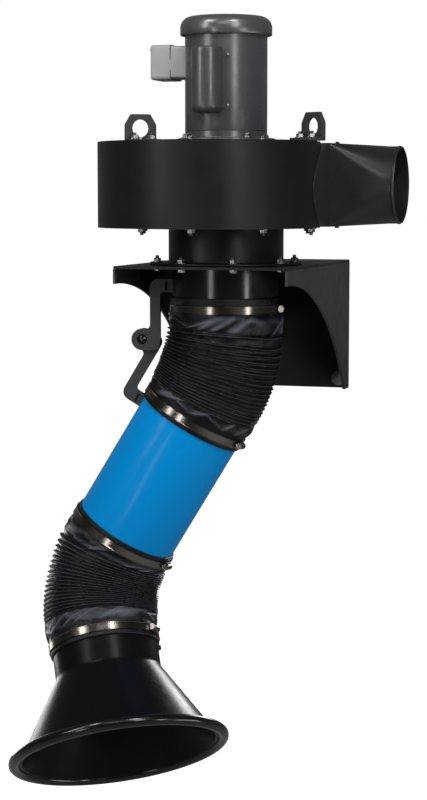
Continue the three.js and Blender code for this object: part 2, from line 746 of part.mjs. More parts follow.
const frameBottom = MOTOR_FLANGE_THICK + MOTOR_SPIGOT + SEAT;
const frameTop = frameBottom + MOTOR_LENGTH;
const bellBottom = frameTop + SEAT;
const bellTop = bellBottom + MOTOR_BELL;
const coverTop = bellTop + FAN_COVER_HEIGHT;
const frameBore = MOTOR_RADIUS - MOTOR_WALL;
const statorBottom = frameBottom + (MOTOR_LENGTH - STATOR_LENGTH) / 2;
const statorTop = statorBottom + STATOR_LENGTH;
const lowerBearing = MOTOR_FLANGE_THICK;
const upperBearing = bellTop - BEARING_SILL - BEARING_WIDTH;
const wheelTopOnShaft = eyeLevel + WHEEL_HEIGHT + WHEEL_SHEET - motorStand.position.z;
const shaftBottom = wheelTopOnShaft - WHEEL_SHEET - WHEEL_HUB_DEPTH - SHAFT_PAST_HUB;
const shaftTop = coverTop - FAN_COVER_SHEET - SHAFT_TIP_ROOM;

function motorFlange() {
  const pocket = BEARING_RADIUS + SEAT;
  const sill = lowerBearing - SEAT;
  const shaftHole = SHAFT_RADIUS + RUN;
  const socketTop = lowerBearing + BEARING_WIDTH;
  return revolve([
    [shaftHole, 0],
    [MOTOR_FLANGE, 0],
    [MOTOR_FLANGE, MOTOR_FLANGE_THICK],
    [MOTOR_RADIUS, MOTOR_FLANGE_THICK],
    [MOTOR_RADIUS, frameBottom - SEAT],
    [pocket + BEARING_HOUSING, frameBottom - SEAT],
    [pocket + BEARING_HOUSING, socketTop],
    [pocket, socketTop],
    [pocket, sill],
    [shaftHole, sill],
  ], MOTOR_ROUND);
}

function motorEndBell() {
  const pocket = BEARING_RADIUS + SEAT;
  const shaftHole = SHAFT_RADIUS + RUN;
  const sill = upperBearing + BEARING_WIDTH + SEAT;
  return revolve([
    [pocket, upperBearing],
    [pocket + BEARING_HOUSING, upperBearing],
    [pocket + BEARING_HOUSING, bellBottom],
    [MOTOR_RADIUS, bellBottom],
    [MOTOR_RADIUS, bellTop],
    [shaftHole, bellTop],
    [shaftHole, sill],
    [pocket, sill],
  ], MOTOR_ROUND);
}

// Pressed cover with a rounded shoulder; air enters through slots round its crown
function fanCover() {
  const skirt = bellBottom;
  const inner = FAN_COVER_RADIUS - FAN_COVER_SHEET;
  const corner = (radius, level, bend) =>
    [0, 45, 90].map((turn) => [
      radius - bend + bend * Math.cos(turn * DEGREE),
      level - bend + bend * Math.sin(turn * DEGREE),
    ]);
  const innerBend = FAN_COVER_CORNER - FAN_COVER_SHEET;
  const shell = revolve([
    [inner, skirt],
    [FAN_COVER_RADIUS, skirt],
    ...corner(FAN_COVER_RADIUS, coverTop, FAN_COVER_CORNER),
    [SHAFT_RADIUS, coverTop],
    [SHAFT_RADIUS, coverTop - FAN_COVER_SHEET],
    ...corner(inner, coverTop - FAN_COVER_SHEET, innerBend).reverse(),
  ], MOTOR_ROUND);
  const [slotStart, slotEnd] = FAN_COVER_SLOT;
  const slotSide = FAN_COVER_SLOT_WIDTH / 2;
  const slotFloor = coverTop - FAN_COVER_SHEET - OVERCUT;
  const slots = Array.from({ length: FAN_COVER_SLOTS }, (_, k) => {
    const slot = box(slotStart, slotEnd, -slotSide, slotSide, slotFloor, coverTop + OVERCUT);
    return slot.rotateZ((k * 2 * Math.PI) / FAN_COVER_SLOTS);
  });
  return cut(shell, ...slots);
}

// Four ears tie the end bell to the cover's skirt
function coverEars() {
  const reach = FAN_COVER_RADIUS - FAN_COVER_SHEET - SEAT;
  const skirtBore = disc(reach, bellBottom - OVERCUT, bellTop + OVERCUT, MOTOR_ROUND);
  const half = COVER_EAR_WIDTH / 2;
  const ear = common(box(frameBore, reach, -half, half, bellBottom, bellTop), skirtBore);
  return Array.from({ length: 4 }, (_, k) => ear.clone().rotateZ((k + 0.5) * 90 * DEGREE));
}

function motorShaft() {
  const low = lowerBearing + BEARING_WIDTH + SEAT;
  const high = upperBearing - SEAT;
  return revolve([
    [0, shaftBottom],
    [SHAFT_RADIUS, shaftBottom],
    [SHAFT_RADIUS, low],
    [SHAFT_SHOULDER, low],
    [SHAFT_SHOULDER, high],
    [SHAFT_RADIUS, high],
    [SHAFT_RADIUS, shaftTop],
    [0, shaftTop],
  ], SHAFT_ROUND);
}

function bearing(bottom) {
  const inner = SHAFT_RADIUS + SEAT;
  const top = bottom + BEARING_WIDTH;
  const [grooveHalf, grooveDepth] = BEARING_GROOVE;
  const middle = (inner + BEARING_RADIUS) / 2;
  return revolve([
    [inner, bottom],
    [BEARING_RADIUS, bottom],
    [BEARING_RADIUS, top],
    [middle + grooveHalf, top],
    [middle, top - grooveDepth],
    [middle - grooveHalf, top],
    [inner, top],
  ], SHAFT_ROUND);
}

function coolingFan() {
  const bottom = bellTop + COOLING_LIFT;
  const top = shaftTop - OVERLAP;
  const radius = FAN_COVER_RADIUS - FAN_COVER_SHEET - FAN_COVER_CORNER;
  const half = COOLING_BLADE_THICK / 2;
  const hub = ring(SHAFT_RADIUS + SEAT, COOLING_HUB, bottom, top, SHAFT_ROUND);
  const web = ring(COOLING_HUB - OVERCUT, radius, bottom, bottom + COOLING_BLADE_THICK, SHAFT_ROUND);
  const rim = radius * Math.cos(Math.PI / SHAFT_ROUND) - OVERLAP;
  const blade = box(COOLING_HUB - OVERCUT, rim, -half, half, bottom + OVERLAP, top - OVERLAP);
  const blades = Array.from({ length: COOLING_BLADES }, (_, k) =>
    blade.clone().rotateZ((k * 2 * Math.PI) / COOLING_BLADES));
  return join(hub, web, ...blades);
}

function winding(bottom) {
  const inner = STATOR_BORE + WINDING_INSET;
  const outer = frameBore - WINDING_INSET;
  const top = bottom + WINDING_LENGTH;
  return revolve([
    [inner, bottom],
    [outer, bottom],
    [outer, top - WINDING_BEND],
    [outer - WINDING_BEND, top],
    [inner + WINDING_BEND, top],
    [inner, top - WINDING_BEND],
  ], SHAFT_ROUND);
}

// Half-round pod: a capsule lying against the frame, open where it meets the frame
function capsule(radius, length, bend) {
  const half = length / 2;
  const lower = [0, 45, 90].map((turn) => [
    radius - bend + bend * Math.sin(turn * DEGREE),
    -half + bend - bend * Math.cos(turn * DEGREE),
  ]);
  const upper = lower.map(([r, z]) => [r, -z]).reverse();
  return revolve([[0, -half], ...lower, ...upper, [0, half]], MOTOR_ROUND);
}

const podMiddle = POD_BASE + POD_LENGTH / 2;
const capacitorPlace = skinAt(MOTOR_RADIUS, POD_TURN, MOTOR_ROUND) + SEAT + CAPACITOR_RADIUS;

function capacitorCover() {
  const outer = capsule(POD_RADIUS, POD_LENGTH, POD_CORNER);
  const inner = capsule(POD_RADIUS - POD_WALL, POD_LENGTH - 2 * POD_WALL, POD_CORNER - POD_WALL);
  const frame = disc(MOTOR_RADIUS + SEAT, -POD_LENGTH, POD_LENGTH, MOTOR_ROUND).rotateZ(-POD_TURN);
  return cut(outer.translate(0, -POD_CENTRE, 0), inner.translate(0, -POD_CENTRE, 0), frame);
}

function capacitor() {
  const half = CAPACITOR_LENGTH / 2;
  const bead = 2;
  return revolve([
    [0, -half],
    [CAPACITOR_RADIUS - bead, -half],
    [CAPACITOR_RADIUS, -half + bead],
    [CAPACITOR_RADIUS, half - bead],
    [CAPACITOR_RADIUS - bead, half],
    [0, half],
  ], SHAFT_ROUND).translate(0, -capacitorPlace, 0);
}

// Conduit box: a shallow base on the frame's left side and a deep drawn cover over it
function conduitBase() {
  const width = CONDUIT_WIDTH - 2 * CONDUIT_WALL;
  const height = CONDUIT_HEIGHT - 2 * CONDUIT_WALL;
  const start = Math.sqrt(MOTOR_RADIUS ** 2 - (CONDUIT_WIDTH / 2) ** 2) - CONDUIT_BASE_WALL;
  const depth = CONDUIT_BASE_REACH - start;
  const roomWidth = width - 2 * CONDUIT_BASE_WALL;
  const roomHeight = height - 2 * CONDUIT_BASE_WALL;
  const block = extrude(roundedRectangle(width, height, CONDUIT_CORNER), depth);
  const room = extrude(roundedRectangle(roomWidth, roomHeight, CONDUIT_BASE_WALL), depth + OVERCUT);
  const placed = [block, room].map((shape) =>
    stand(shape, AXIS_Y.clone().negate(), AXIS_Z).translate(-start, 0, 0));
  const frame = disc(MOTOR_RADIUS + SEAT, -CONDUIT_HEIGHT, CONDUIT_HEIGHT, MOTOR_ROUND);
  return cut(placed[0], placed[1], frame);
}

function conduitCover() {
  const start = CONDUIT_BASE_REACH + SEAT;
  const shell = extrude(roundedRectangle(CONDUIT_WIDTH, CONDUIT_HEIGHT, CONDUIT_CORNER), CONDUIT_COVER_DEPTH);
  const pocketWidth = CONDUIT_WIDTH - 2 * CONDUIT_WALL;
  const pocketHeight = CONDUIT_HEIGHT - 2 * CONDUIT_WALL;
  const pocket = extrude(roundedRectangle(pocketWidth, pocketHeight, CONDUIT_BASE_WALL), CONDUIT_COVER_DEPTH);
  pocket.translate(0, 0, -CONDUIT_WALL);
  const placed = [shell, pocket].map((shape) =>
    stand(shape, AXIS_Y.clone().negate(), AXIS_Z).translate(-start, 0, 0));
  const entry = post(CONDUIT_ENTRY, 0, CONDUIT_WIDTH).rotateX(-90 * DEGREE);
  entry.translate(-start - CONDUIT_COVER_DEPTH / 2, 0, 0);
  return cut(placed[0], placed[1], entry);
}

const conduitMiddle = CONDUIT_LIFT + CONDUIT_HEIGHT / 2;
const rotorCore = ring(SHAFT_SHOULDER + SEAT, STATOR_BORE - AIR_GAP, statorBottom, statorTop, SHAFT_ROUND);
const statorCore = ring(STATOR_BORE, frameBore - SEAT, statorBottom, statorTop, MOTOR_ROUND);
const motorFrame = ring(frameBore, MOTOR_RADIUS, frameBottom, frameTop, MOTOR_ROUND);
const upperWinding = winding(0).translate(0, 0, statorTop + SEAT);
const lowerWinding = winding(0).rotateX(180 * DEGREE).translate(0, 0, statorBottom - SEAT);

piece(motorStand, 'motor_flange', motorFlange(), 'greyEnamel');
piece(motorStand, 'motor_frame', motorFrame, 'greyEnamel');
piece(motorStand, 'motor_end_bell', join(motorEndBell(), ...coverEars()), 'castAlloy');
piece(motorStand, 'fan_cover', fanCover(), 'greyEnamel');
piece(motorStand, 'motor_shaft', motorShaft(), 'plainSteel');
piece(motorStand, 'bearing_lower', bearing(lowerBearing), 'brightSteel');
piece(motorStand, 'bearing_upper', bearing(upperBearing), 'brightSteel');
piece(motorStand, 'rotor_core', rotorCore, 'plainSteel');
piece(motorStand, 'stator_core', statorCore, 'plainSteel');
piece(motorStand, 'winding_upper', upperWinding, 'copper');
piece(motorStand, 'winding_lower', lowerWinding, 'copper');
piece(motorStand, 'cooling_fan', coolingFan(), 'darkPlastic');

const podGroup = new THREE.Group();
podGroup.position.z = podMiddle;
podGroup.rotation.z = POD_TURN;
motorStand.add(podGroup);
piece(podGroup, 'capacitor_cover', capacitorCover(), 'greyEnamel');
piece(podGroup, 'capacitor', capacitor(), 'castAlloy');

const conduitGroup = new THREE.Group();
conduitGroup.position.z = conduitMiddle;
motorStand.add(conduitGroup);
piece(conduitGroup, 'conduit_box', conduitBase(), 'greyEnamel');
piece(conduitGroup, 'conduit_box_cover', conduitCover(), 'greyEnamel');

// Friction links: two like plates, one on each tube, turning on one bolt

const linkFace = FRICTION_DISC_THICK / 2 + SEAT;
const linkOuterFace = linkFace + LINK_THICK;

// Drawn from the pivot: x towards the tube, y along it. The tab's end is cut to the tube's skin.
function linkPlate() {
  const [barNear, barFar] = LINK_BAR;
  const [tabStart, tabEnd] = LINK_TAB;
  const earTurn = Math.acos(barNear / LINK_EAR);
  const shape = new THREE.Shape();
  const tabRoot = PIVOT_STANDOFF + LINK_THICK / 2;
  shape.moveTo(tabRoot, tabStart);
  shape.lineTo(tabRoot, tabEnd);
  shape.lineTo(barNear + LINK_CORNER, tabEnd);
  shape.quadraticCurveTo(barNear, tabEnd, barNear, tabEnd - LINK_CORNER);
  shape.lineTo(barNear, LINK_EAR * Math.sin(earTurn));
  shape.absarc(0, 0, LINK_EAR, earTurn, 270 * DEGREE);
  shape.quadraticCurveTo(barFar, -LINK_EAR, barFar, 0);
  shape.lineTo(barFar, tabStart - LINK_FILLET);
  shape.quadraticCurveTo(barFar, tabStart, barFar + LINK_FILLET, tabStart);
  shape.holes.push(roundHole(0, 0, PIVOT_BOLT + PIN_FIT));
  const slotX = (barFar + PIVOT_STANDOFF) / 2;
  const slotY = (tabStart + tabEnd) / 2;
  const [slotWidth, slotLength] = LINK_SLOT;
  const slot = new THREE.Path();
  const slotEnd = (slotLength - slotWidth) / 2;
  slot.absarc(slotX, slotY + slotEnd, slotWidth / 2, 0, 180 * DEGREE);
  slot.absarc(slotX, slotY - slotEnd, slotWidth / 2, 180 * DEGREE, 360 * DEGREE);
  shape.holes.push(slot);
  const plate = stand(extrude(shape, LINK_THICK), AXIS_X, AXIS_Z);
  const tubeSkin = disc(DUCT_RADIUS + SEAT, -2 * tabEnd, 2 * tabEnd).translate(pivotOffset, 0, 0);
  return { plate, tubeSkin };
}

function upperLink() {
  const { plate, tubeSkin } = linkPlate();
  plate.translate(0, -linkFace, 0);
  const recess = post(PIVOT_HEAD + PIN_FIT, 0, PIVOT_RECESS + OVERCUT, 0, 0, SHAFT_ROUND);
  recess.rotateX(90 * DEGREE).translate(0, -linkOuterFace + PIVOT_RECESS, 0);
  return cut(plate, tubeSkin, recess);
}

// The lower plate is the upper one turned half round across the pivot
function lowerLink() {
  const { plate, tubeSkin } = linkPlate();
  plate.translate(0, -linkFace, 0).rotateX(180 * DEGREE);
  return cut(plate, tubeSkin);
}

function pivotBolt() {
  const headSeat = -linkOuterFace + PIVOT_RECESS - SEAT;
  const tip = linkOuterFace + PIVOT_NUT + PIVOT_TIP;
  const [socketRadius, socketDepth] = PIVOT_SOCKET;
  const socket = post(socketRadius, PIVOT_RECESS - socketDepth, PIVOT_RECESS + OVERCUT, 0, 0, HEX);
  const head = post(PIVOT_HEAD, 0, PIVOT_RECESS, 0, 0, SHAFT_ROUND);
  const shank = post(PIVOT_BOLT, headSeat - tip, OVERLAP);
  return cut(join(head, shank), socket).rotateX(90 * DEGREE).translate(0, headSeat, 0);
}

function pivotNut() {
  const start = linkOuterFace + SEAT;
  const [collarRadius, collarThick] = PIVOT_NUT_COLLAR;
  const collar = post(collarRadius, 0, collarThick, 0, 0, SHAFT_ROUND);
  const body = post(PIVOT_NUT, OVERLAP, PIVOT_NUT, 0, 0, HEX);
  const bore = post(PIVOT_BOLT + PIN_FIT, -OVERCUT, PIVOT_NUT + OVERCUT);
  return cut(join(collar, body), bore).rotateX(-90 * DEGREE).translate(0, start, 0);
}

function frictionDisc() {
  const half = FRICTION_DISC_THICK / 2;
  return ring(PIVOT_BOLT + PIN_FIT, FRICTION_DISC_RADIUS, -half, half, SHAFT_ROUND).rotateX(90 * DEGREE);
}

piece(pivot, 'upper_link', upperLink(), 'darkLink');
piece(pivot, 'pivot_bolt', pivotBolt(), 'plainSteel');
piece(pivot, 'pivot_nut', pivotNut(), 'brightSteel');
piece(pivot, 'friction_disc', frictionDisc(), 'darkPlastic');
piece(arm, 'lower_link', lowerLink(), 'darkLink');

// Band clamps round the hose ends

const hoseBore = boreAround(DUCT_RADIUS, SEAT, HOSE_ROUND);
const cuffRadius = hoseBore + HOSE_WALL;
const bandInner = boreAround(cuffRadius, SEAT, DUCT_ROUND);
const bandOuter = bandInner + BAND_THICK;

// Worm housing with a domed crown, and the screw's six-sided head at its front end
function clampScrew() {
  const half = BAND_WIDTH / 2 - CLAMP_HOUSING_INSET;
  const crown = new THREE.Shape();
  crown.moveTo(-half, 0);
  crown.lineTo(half, 0);
  crown.lineTo(half, CLAMP_HOUSING_WALL);
  crown.absarc(0, CLAMP_HOUSING_WALL, half, 0, 180 * DEGREE);
  const middle = CLAMP_HOUSING_LENGTH / 2;
  const housing = stand(extrude(crown, CLAMP_HOUSING_LENGTH, 6), AXIS_Z, AXIS_X).translate(0, -middle, 0);
  const head = post(half - CLAMP_HOUSING_INSET, -OVERLAP, CLAMP_HEAD_LENGTH, 0, 0, HEX);
  head.rotateX(90 * DEGREE).translate(half - CLAMP_HOUSING_INSET, -middle, 0);
  return join(housing, head).translate(bandOuter + SEAT, 0, 0);
}

function addClamp(group, name, level, turn) {
  const clamp = new THREE.Group();
  clamp.position.z = level;
  clamp.rotation.z = turn * DEGREE;
  group.add(clamp);
  const half = BAND_WIDTH / 2;
  piece(clamp, `${name}_band`, ring(bandInner, bandOuter, -half, half), 'brightSteel');
  piece(clamp, `${name}_screw`, clampScrew(), 'brightSteel');
}

const armUpperClamp = -UPPER_HOSE_END + ARM_CLAMP_INSET;
const armLowerClamp = -LOWER_HOSE_START - ARM_CLAMP_INSET;
const hoodClamp = -HOOD_HOSE_END + ARM_CLAMP_INSET;
addClamp(swivel, 'swivel_clamp', -UPPER_HOSE_CLAMP, CLAMP_TURNS[0]);
addClamp(armAxis, 'arm_upper_clamp', armUpperClamp, CLAMP_TURNS[1]);
addClamp(armAxis, 'arm_lower_clamp', armLowerClamp, CLAMP_TURNS[2]);
addClamp(hood, 'hood_clamp', hoodClamp, CLAMP_TURNS[3]);

// Arm tube

const tubeBore = DUCT_RADIUS - DUCT_WALL;
piece(armAxis, 'arm_tube', ring(tubeBore, DUCT_RADIUS, -ARM_TUBE_END, -ARM_TUBE_START), 'bluePaint');

// Ribbed hoses: straight leads at both ends and one even bend between them, towards +X, heading down

function hoseStation(distance, lead, bendRadius, bend) {
  const arc = bendRadius * bend;
  const turned = THREE.MathUtils.clamp((distance - lead) / arc, 0, 1) * bend;
  const before = Math.min(distance, lead);
  const after = Math.max(0, distance - lead - arc);
  const heading = new THREE.Vector3(Math.sin(turned), 0, -Math.cos(turned));
  const place = new THREE.Vector3(bendRadius * (1 - Math.cos(turned)), 0, -bendRadius * Math.sin(turned));
  place.z -= before;
  place.addScaledVector(heading, after);
  return { place, heading };
}

function hoseRing(station, radius) {
  const side = new THREE.Vector3(-station.heading.z, 0, station.heading.x);
  return Array.from({ length: HOSE_ROUND }, (_, step) => {
    const angle = (step * 2 * Math.PI) / HOSE_ROUND;
    const point = station.place.clone();
    point.addScaledVector(side, radius * Math.cos(angle));
    point.addScaledVector(AXIS_Y, -radius * Math.sin(angle));
    return point;
  });
}

function ribbedHose(tangentIn, tangentOut, bend, cuffs, ribs) {
  const tangent = Math.min(tangentIn, tangentOut) - BAND_WIDTH - ARM_CLAMP_INSET / 2;
  const lead = tangentIn - tangent;
  const bendRadius = tangent / Math.tan(bend / 2);
  const length = lead + bendRadius * bend + tangentOut - tangent;
  const crestRadius = cuffRadius + HOSE_RIB_HEIGHT;
  const swollen = cuffRadius + HOSE_CUFF_SWELL;
  const [cuffIn, cuffOut] = cuffs;
  const pitch = (length - cuffIn - cuffOut) / ribs;
  const outside = [[0, cuffRadius], [2 * ARM_CLAMP_INSET, cuffRadius], [cuffIn - HOSE_CUFF_NECK, swollen]];
  for (let rib = 0; rib < ribs; rib += 1) {
    outside.push([cuffIn + rib * pitch, cuffRadius]);
    outside.push([cuffIn + (rib + 0.5) * pitch, crestRadius]);
  }
  outside.push([length - cuffOut, cuffRadius], [length - cuffOut + HOSE_CUFF_NECK, swollen]);
  outside.push([length - 2 * ARM_CLAMP_INSET, cuffRadius], [length, cuffRadius]);
  const boreSteps = Math.ceil(ribs / 3);
  const inside = [];
  for (let step = boreSteps; step >= 0; step -= 1) {
    inside.push([(length * step) / boreSteps, hoseBore]);
  }
  const rings = [...outside, ...inside].map(([distance, radius]) =>
    hoseRing(hoseStation(distance, lead, bendRadius, bend), radius));
  return wrapRings(rings);
}

const shoulderTangent = pivotOffset * Math.tan(ARM_LEAN / 2);
const upperHose = piece(
  swivel,
  'upper_hose',
  ribbedHose(
    PIVOT_DROP + shoulderTangent - UPPER_HOSE_START,
    shoulderTangent + UPPER_HOSE_END,
    ARM_LEAN,
    UPPER_HOSE_CUFFS,
    UPPER_HOSE_RIBS,
  ),
  'hoseFabric',
);
upperHose.position.z = -UPPER_HOSE_START;
upperHose.rotation.z = 180 * DEGREE;

const hoodHeading = new THREE.Vector3(0, 0, -1).applyEuler(new THREE.Euler(WRIST_YAW, 0, 0));
hoodHeading.applyEuler(new THREE.Euler(0, WRIST_PITCH, 0));
const lowerHose = piece(
  armAxis,
  'lower_hose',
  ribbedHose(
    WRIST_REACH - LOWER_HOSE_START,
    HOOD_HOSE_END,
    Math.acos(-hoodHeading.z),
    LOWER_HOSE_CUFFS,
    LOWER_HOSE_RIBS,
  ),
  'hoseFabric',
);
lowerHose.position.z = -LOWER_HOSE_START;
lowerHose.rotation.z = Math.atan2(hoodHeading.y, hoodHeading.x);

// Wrist joint: a yoke across the arm tube, a cross, and a yoke across the hood's neck

// Prongs stand on the pin axis X either side of the centre, and a bar ties them to the duct at -Z
function wristYoke(barLevel, boreRadius) {
  const inner = YOKE_PRONG_GAP / 2;
  const outer = inner + YOKE_PRONG_THICK;
  const half = YOKE_PRONG_WIDTH / 2;
  const profile = new THREE.Shape();
  profile.moveTo(-half, -barLevel - YOKE_BAR / 2);
  profile.lineTo(half, -barLevel - YOKE_BAR / 2);
  profile.lineTo(half, 0);
  profile.absarc(0, 0, half, 0, 180 * DEGREE);
  profile.holes.push(roundHole(0, 0, CROSS_PIN + PIN_FIT));
  const prong = stand(extrude(profile, YOKE_PRONG_THICK, 6), AXIS_Y, AXIS_Z);
  const prongs = [inner, -outer].map((place) => prong.clone().translate(place, 0, 0));
  const barTop = -barLevel + YOKE_BAR / 2;
  const bar = box(-boreRadius, boreRadius, -half, half, -barLevel - YOKE_BAR / 2, barTop);
  const duct = disc(boreRadius - SEAT, -2 * barLevel, barLevel);
  return join(common(bar, duct), ...prongs);
}

function wristCross() {
  const reach = YOKE_PRONG_GAP / 2 + YOKE_PRONG_THICK;
  const pin = post(CROSS_PIN, -reach, reach);
  const body = post(CROSS_BODY, -CROSS_BODY, CROSS_BODY, 0, 0, SHAFT_ROUND);
  const alongX = pin.clone().rotateY(90 * DEGREE);
  const alongY = pin.clone().rotateX(90 * DEGREE);
  return join(body, alongX, alongY);
}

const armYokeBar = WRIST_REACH - ARM_TUBE_END + YOKE_BAR;
const armYoke = wristYoke(armYokeBar, tubeBore).rotateX(180 * DEGREE).rotateZ(90 * DEGREE);
const armYokeMesh = piece(armAxis, 'arm_yoke', armYoke, 'plainSteel');
armYokeMesh.position.z = -WRIST_REACH;
piece(gimbal, 'wrist_cross', wristCross(), 'plainSteel');
const hoodNeckBore = DUCT_RADIUS - HOOD_WALL;
piece(hood, 'hood_yoke', wristYoke(HOOD_NECK_START + YOKE_BAR, hoodNeckBore), 'plainSteel');

// Hood: a neck under the hose, a cone, and a flat flange whose edge is turned back

function hoodShell() {
  const neckTop = -HOOD_NECK_START;
  const coneTop = -HOOD_CONE_START;
  const rim = -HOOD_RIM;
  const coneEdge = HOOD_RIM_RADIUS - HOOD_LIP;
  const mouth = coneEdge - HOOD_WALL;
  const turnedInside = HOOD_RIM_RADIUS - HOOD_WALL;
  const turnedTop = rim + HOOD_LIP_HEIGHT;
  const flangeBack = rim + HOOD_WALL;
  return revolve([
    [hoodNeckBore, neckTop],
    [hoodNeckBore, coneTop],
    [mouth, rim + HOOD_EDGE],
    [mouth + HOOD_EDGE, rim],
    [HOOD_RIM_RADIUS - HOOD_EDGE, rim],
    [HOOD_RIM_RADIUS, rim + HOOD_EDGE],
    [HOOD_RIM_RADIUS, turnedTop],
    [turnedInside, turnedTop],
    [turnedInside, flangeBack],
    [coneEdge, flangeBack],
    [DUCT_RADIUS, coneTop + HOOD_WALL / 2],
    [DUCT_RADIUS, neckTop],
  ], HOOD_ROUND);
}

piece(hood, 'hood_shell', hoodShell(), 'blackPaint');

export default extractor;
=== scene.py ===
# %% [markdown]
# # A wall-mounted fume extraction arm
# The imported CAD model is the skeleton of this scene: its bodies, joints and places are loaded first and never
# touched. Everything below dresses that skeleton, so a piece goes where the frame says, with no fitting by eye.
# The import could also be rebuilt from loose files, but one shared frame keeps looks and motion together.

# %% Load the frame
import json
import math

import bmesh
import bpy
import numpy as np
from mathutils import Matrix, Vector, noise
from mathutils.geometry import tessellate_polygon


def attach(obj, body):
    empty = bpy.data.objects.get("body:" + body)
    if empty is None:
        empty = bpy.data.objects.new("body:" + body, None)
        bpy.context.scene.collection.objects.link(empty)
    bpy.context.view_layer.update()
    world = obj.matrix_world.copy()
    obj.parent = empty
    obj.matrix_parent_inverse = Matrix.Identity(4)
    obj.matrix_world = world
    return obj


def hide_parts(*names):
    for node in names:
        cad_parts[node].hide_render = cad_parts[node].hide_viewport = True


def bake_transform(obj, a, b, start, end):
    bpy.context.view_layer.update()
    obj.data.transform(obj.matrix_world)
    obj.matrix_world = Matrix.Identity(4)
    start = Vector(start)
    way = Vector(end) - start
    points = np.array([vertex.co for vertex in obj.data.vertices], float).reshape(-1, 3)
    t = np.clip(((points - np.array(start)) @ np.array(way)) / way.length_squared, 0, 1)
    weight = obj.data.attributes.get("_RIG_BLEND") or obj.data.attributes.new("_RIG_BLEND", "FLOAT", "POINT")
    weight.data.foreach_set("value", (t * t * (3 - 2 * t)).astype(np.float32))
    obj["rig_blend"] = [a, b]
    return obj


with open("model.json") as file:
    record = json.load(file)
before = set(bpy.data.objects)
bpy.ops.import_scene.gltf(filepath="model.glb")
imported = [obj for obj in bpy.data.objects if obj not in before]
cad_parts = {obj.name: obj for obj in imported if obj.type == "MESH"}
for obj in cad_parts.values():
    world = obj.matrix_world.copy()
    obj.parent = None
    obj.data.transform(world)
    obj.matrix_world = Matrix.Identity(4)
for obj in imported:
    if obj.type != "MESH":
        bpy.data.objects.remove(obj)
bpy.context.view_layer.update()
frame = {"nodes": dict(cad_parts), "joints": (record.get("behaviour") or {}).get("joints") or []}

joints = {joint["name"]: joint for joint in frame["joints"]}

# %% [markdown]
# Each moving body has its own drawing frame: the fan's axis, the swivel, the arm, the wrist and the hood. A
# tube is much easier to draw upright in its own frame and then to place, than to draw slanted. The joints give
# the points, and the angles at rest give the turns. Drawings are in millimetres, as on a workshop sheet.

# %% Drawing frames
MM = 0.001
SWIVEL_TURN, ARM_LEAN, WRIST_PITCH, WRIST_YAW = 7, 31, -47, -28
DUCT_RADIUS, PIVOT_REACH = 103, 164
BLOWER_FLOOR, BLOWER_HEIGHT, BLOWER_SHEET, SEAT = 70, 163, 2.5, 0.3


def shift(x, y, z):
    return Matrix.Translation((x, y, z))


def turn(degrees, axis):
    return Matrix.Rotation(math.radians(degrees), 4, axis)


def joint_place(name):
    return Matrix.Translation(Vector(joints[name]["pos_m"]) / MM)


FAN = joint_place("swivel_turn")
MOTOR = FAN @ shift(0, 0, BLOWER_FLOOR + BLOWER_HEIGHT + SEAT)
SWIVEL = FAN @ turn(SWIVEL_TURN, "Z")
PIVOT = joint_place("shoulder") @ turn(SWIVEL_TURN, "Z")
ARM_PIVOT = PIVOT @ turn(ARM_LEAN, "Y")
ARM = ARM_PIVOT @ shift(PIVOT_REACH, 0, 0)
WRIST = joint_place("wrist_pitch")
GIMBAL = WRIST @ turn(SWIVEL_TURN, "Z") @ turn(ARM_LEAN + WRIST_PITCH, "Y")
HOOD = GIMBAL @ turn(WRIST_YAW, "X")
print("arm axis passes the wrist at", [round(v, 2) for v in ARM.inverted() @ WRIST.translation])

# %% [markdown]
# The photograph was taken with a long lens from a little above, slightly to the right. The camera repeats that
# place. Its sensor's long side is the picture's height, because the picture stands upright.

# %% Camera
CAMERA_PLACE = (1.0701, -3.8171, 0.265)
CAMERA_TURN, CAMERA_TILT, CAMERA_LENS = 17.38, 6.227, 85.4
camera_data = bpy.data.cameras.new("camera")
camera_data.lens = CAMERA_LENS
camera_data.sensor_width = 36
camera_data.sensor_fit = "AUTO"
camera = bpy.data.objects.new("camera", camera_data)
camera.location = CAMERA_PLACE
camera.rotation_euler = (math.radians(90 - CAMERA_TILT), 0, math.radians(CAMERA_TURN))
bpy.context.scene.collection.objects.link(camera)
bpy.context.scene.camera = camera
print("camera at", CAMERA_PLACE)

# %% [markdown]
# Meshes come from a few plain operations, the same that a workshop uses: turning a profile on a lathe, cutting
# a flat plate, and drawing a skin through a row of sections. Blender's own operators could do some of it, but
# lists of points and faces are quick, exact and give the same mesh each time. Each operation returns a shell,
# points with faces, so that shells can be joined into one piece before Blender sees them.

# %% Shells: lathe, loft, plate
def lathe(profile, steps=96):
    """Closed skin of revolution about Z through a closed profile of (radius, height)."""
    count = len(profile)
    points, faces = [], []
    for step in range(steps):
        angle = 2 * math.pi * step / steps
        points += [(r * math.cos(angle), r * math.sin(angle), z) for r, z in profile]
        here, there = step * count, ((step + 1) % steps) * count
        for k in range(count):
            after = (k + 1) % count
            faces.append((here + k, there + k, there + after, here + after))
    return points, faces


def loft(rings, wrap=False):
    """Skin through rings of equal length. It closes on itself, or ends in two flat caps."""
    count = len(rings[0])
    points = [tuple(p) for ring in rings for p in ring]
    faces = []
    for index in range(len(rings) if wrap else len(rings) - 1):
        here, there = index * count, ((index + 1) % len(rings)) * count
        for k in range(count):
            after = (k + 1) % count
            faces.append((here + k, here + after, there + after, there + k))
    if not wrap:
        faces.append(tuple(range(count - 1, -1, -1)))
        faces.append(tuple(range(len(points) - count, len(points))))
    return points, faces


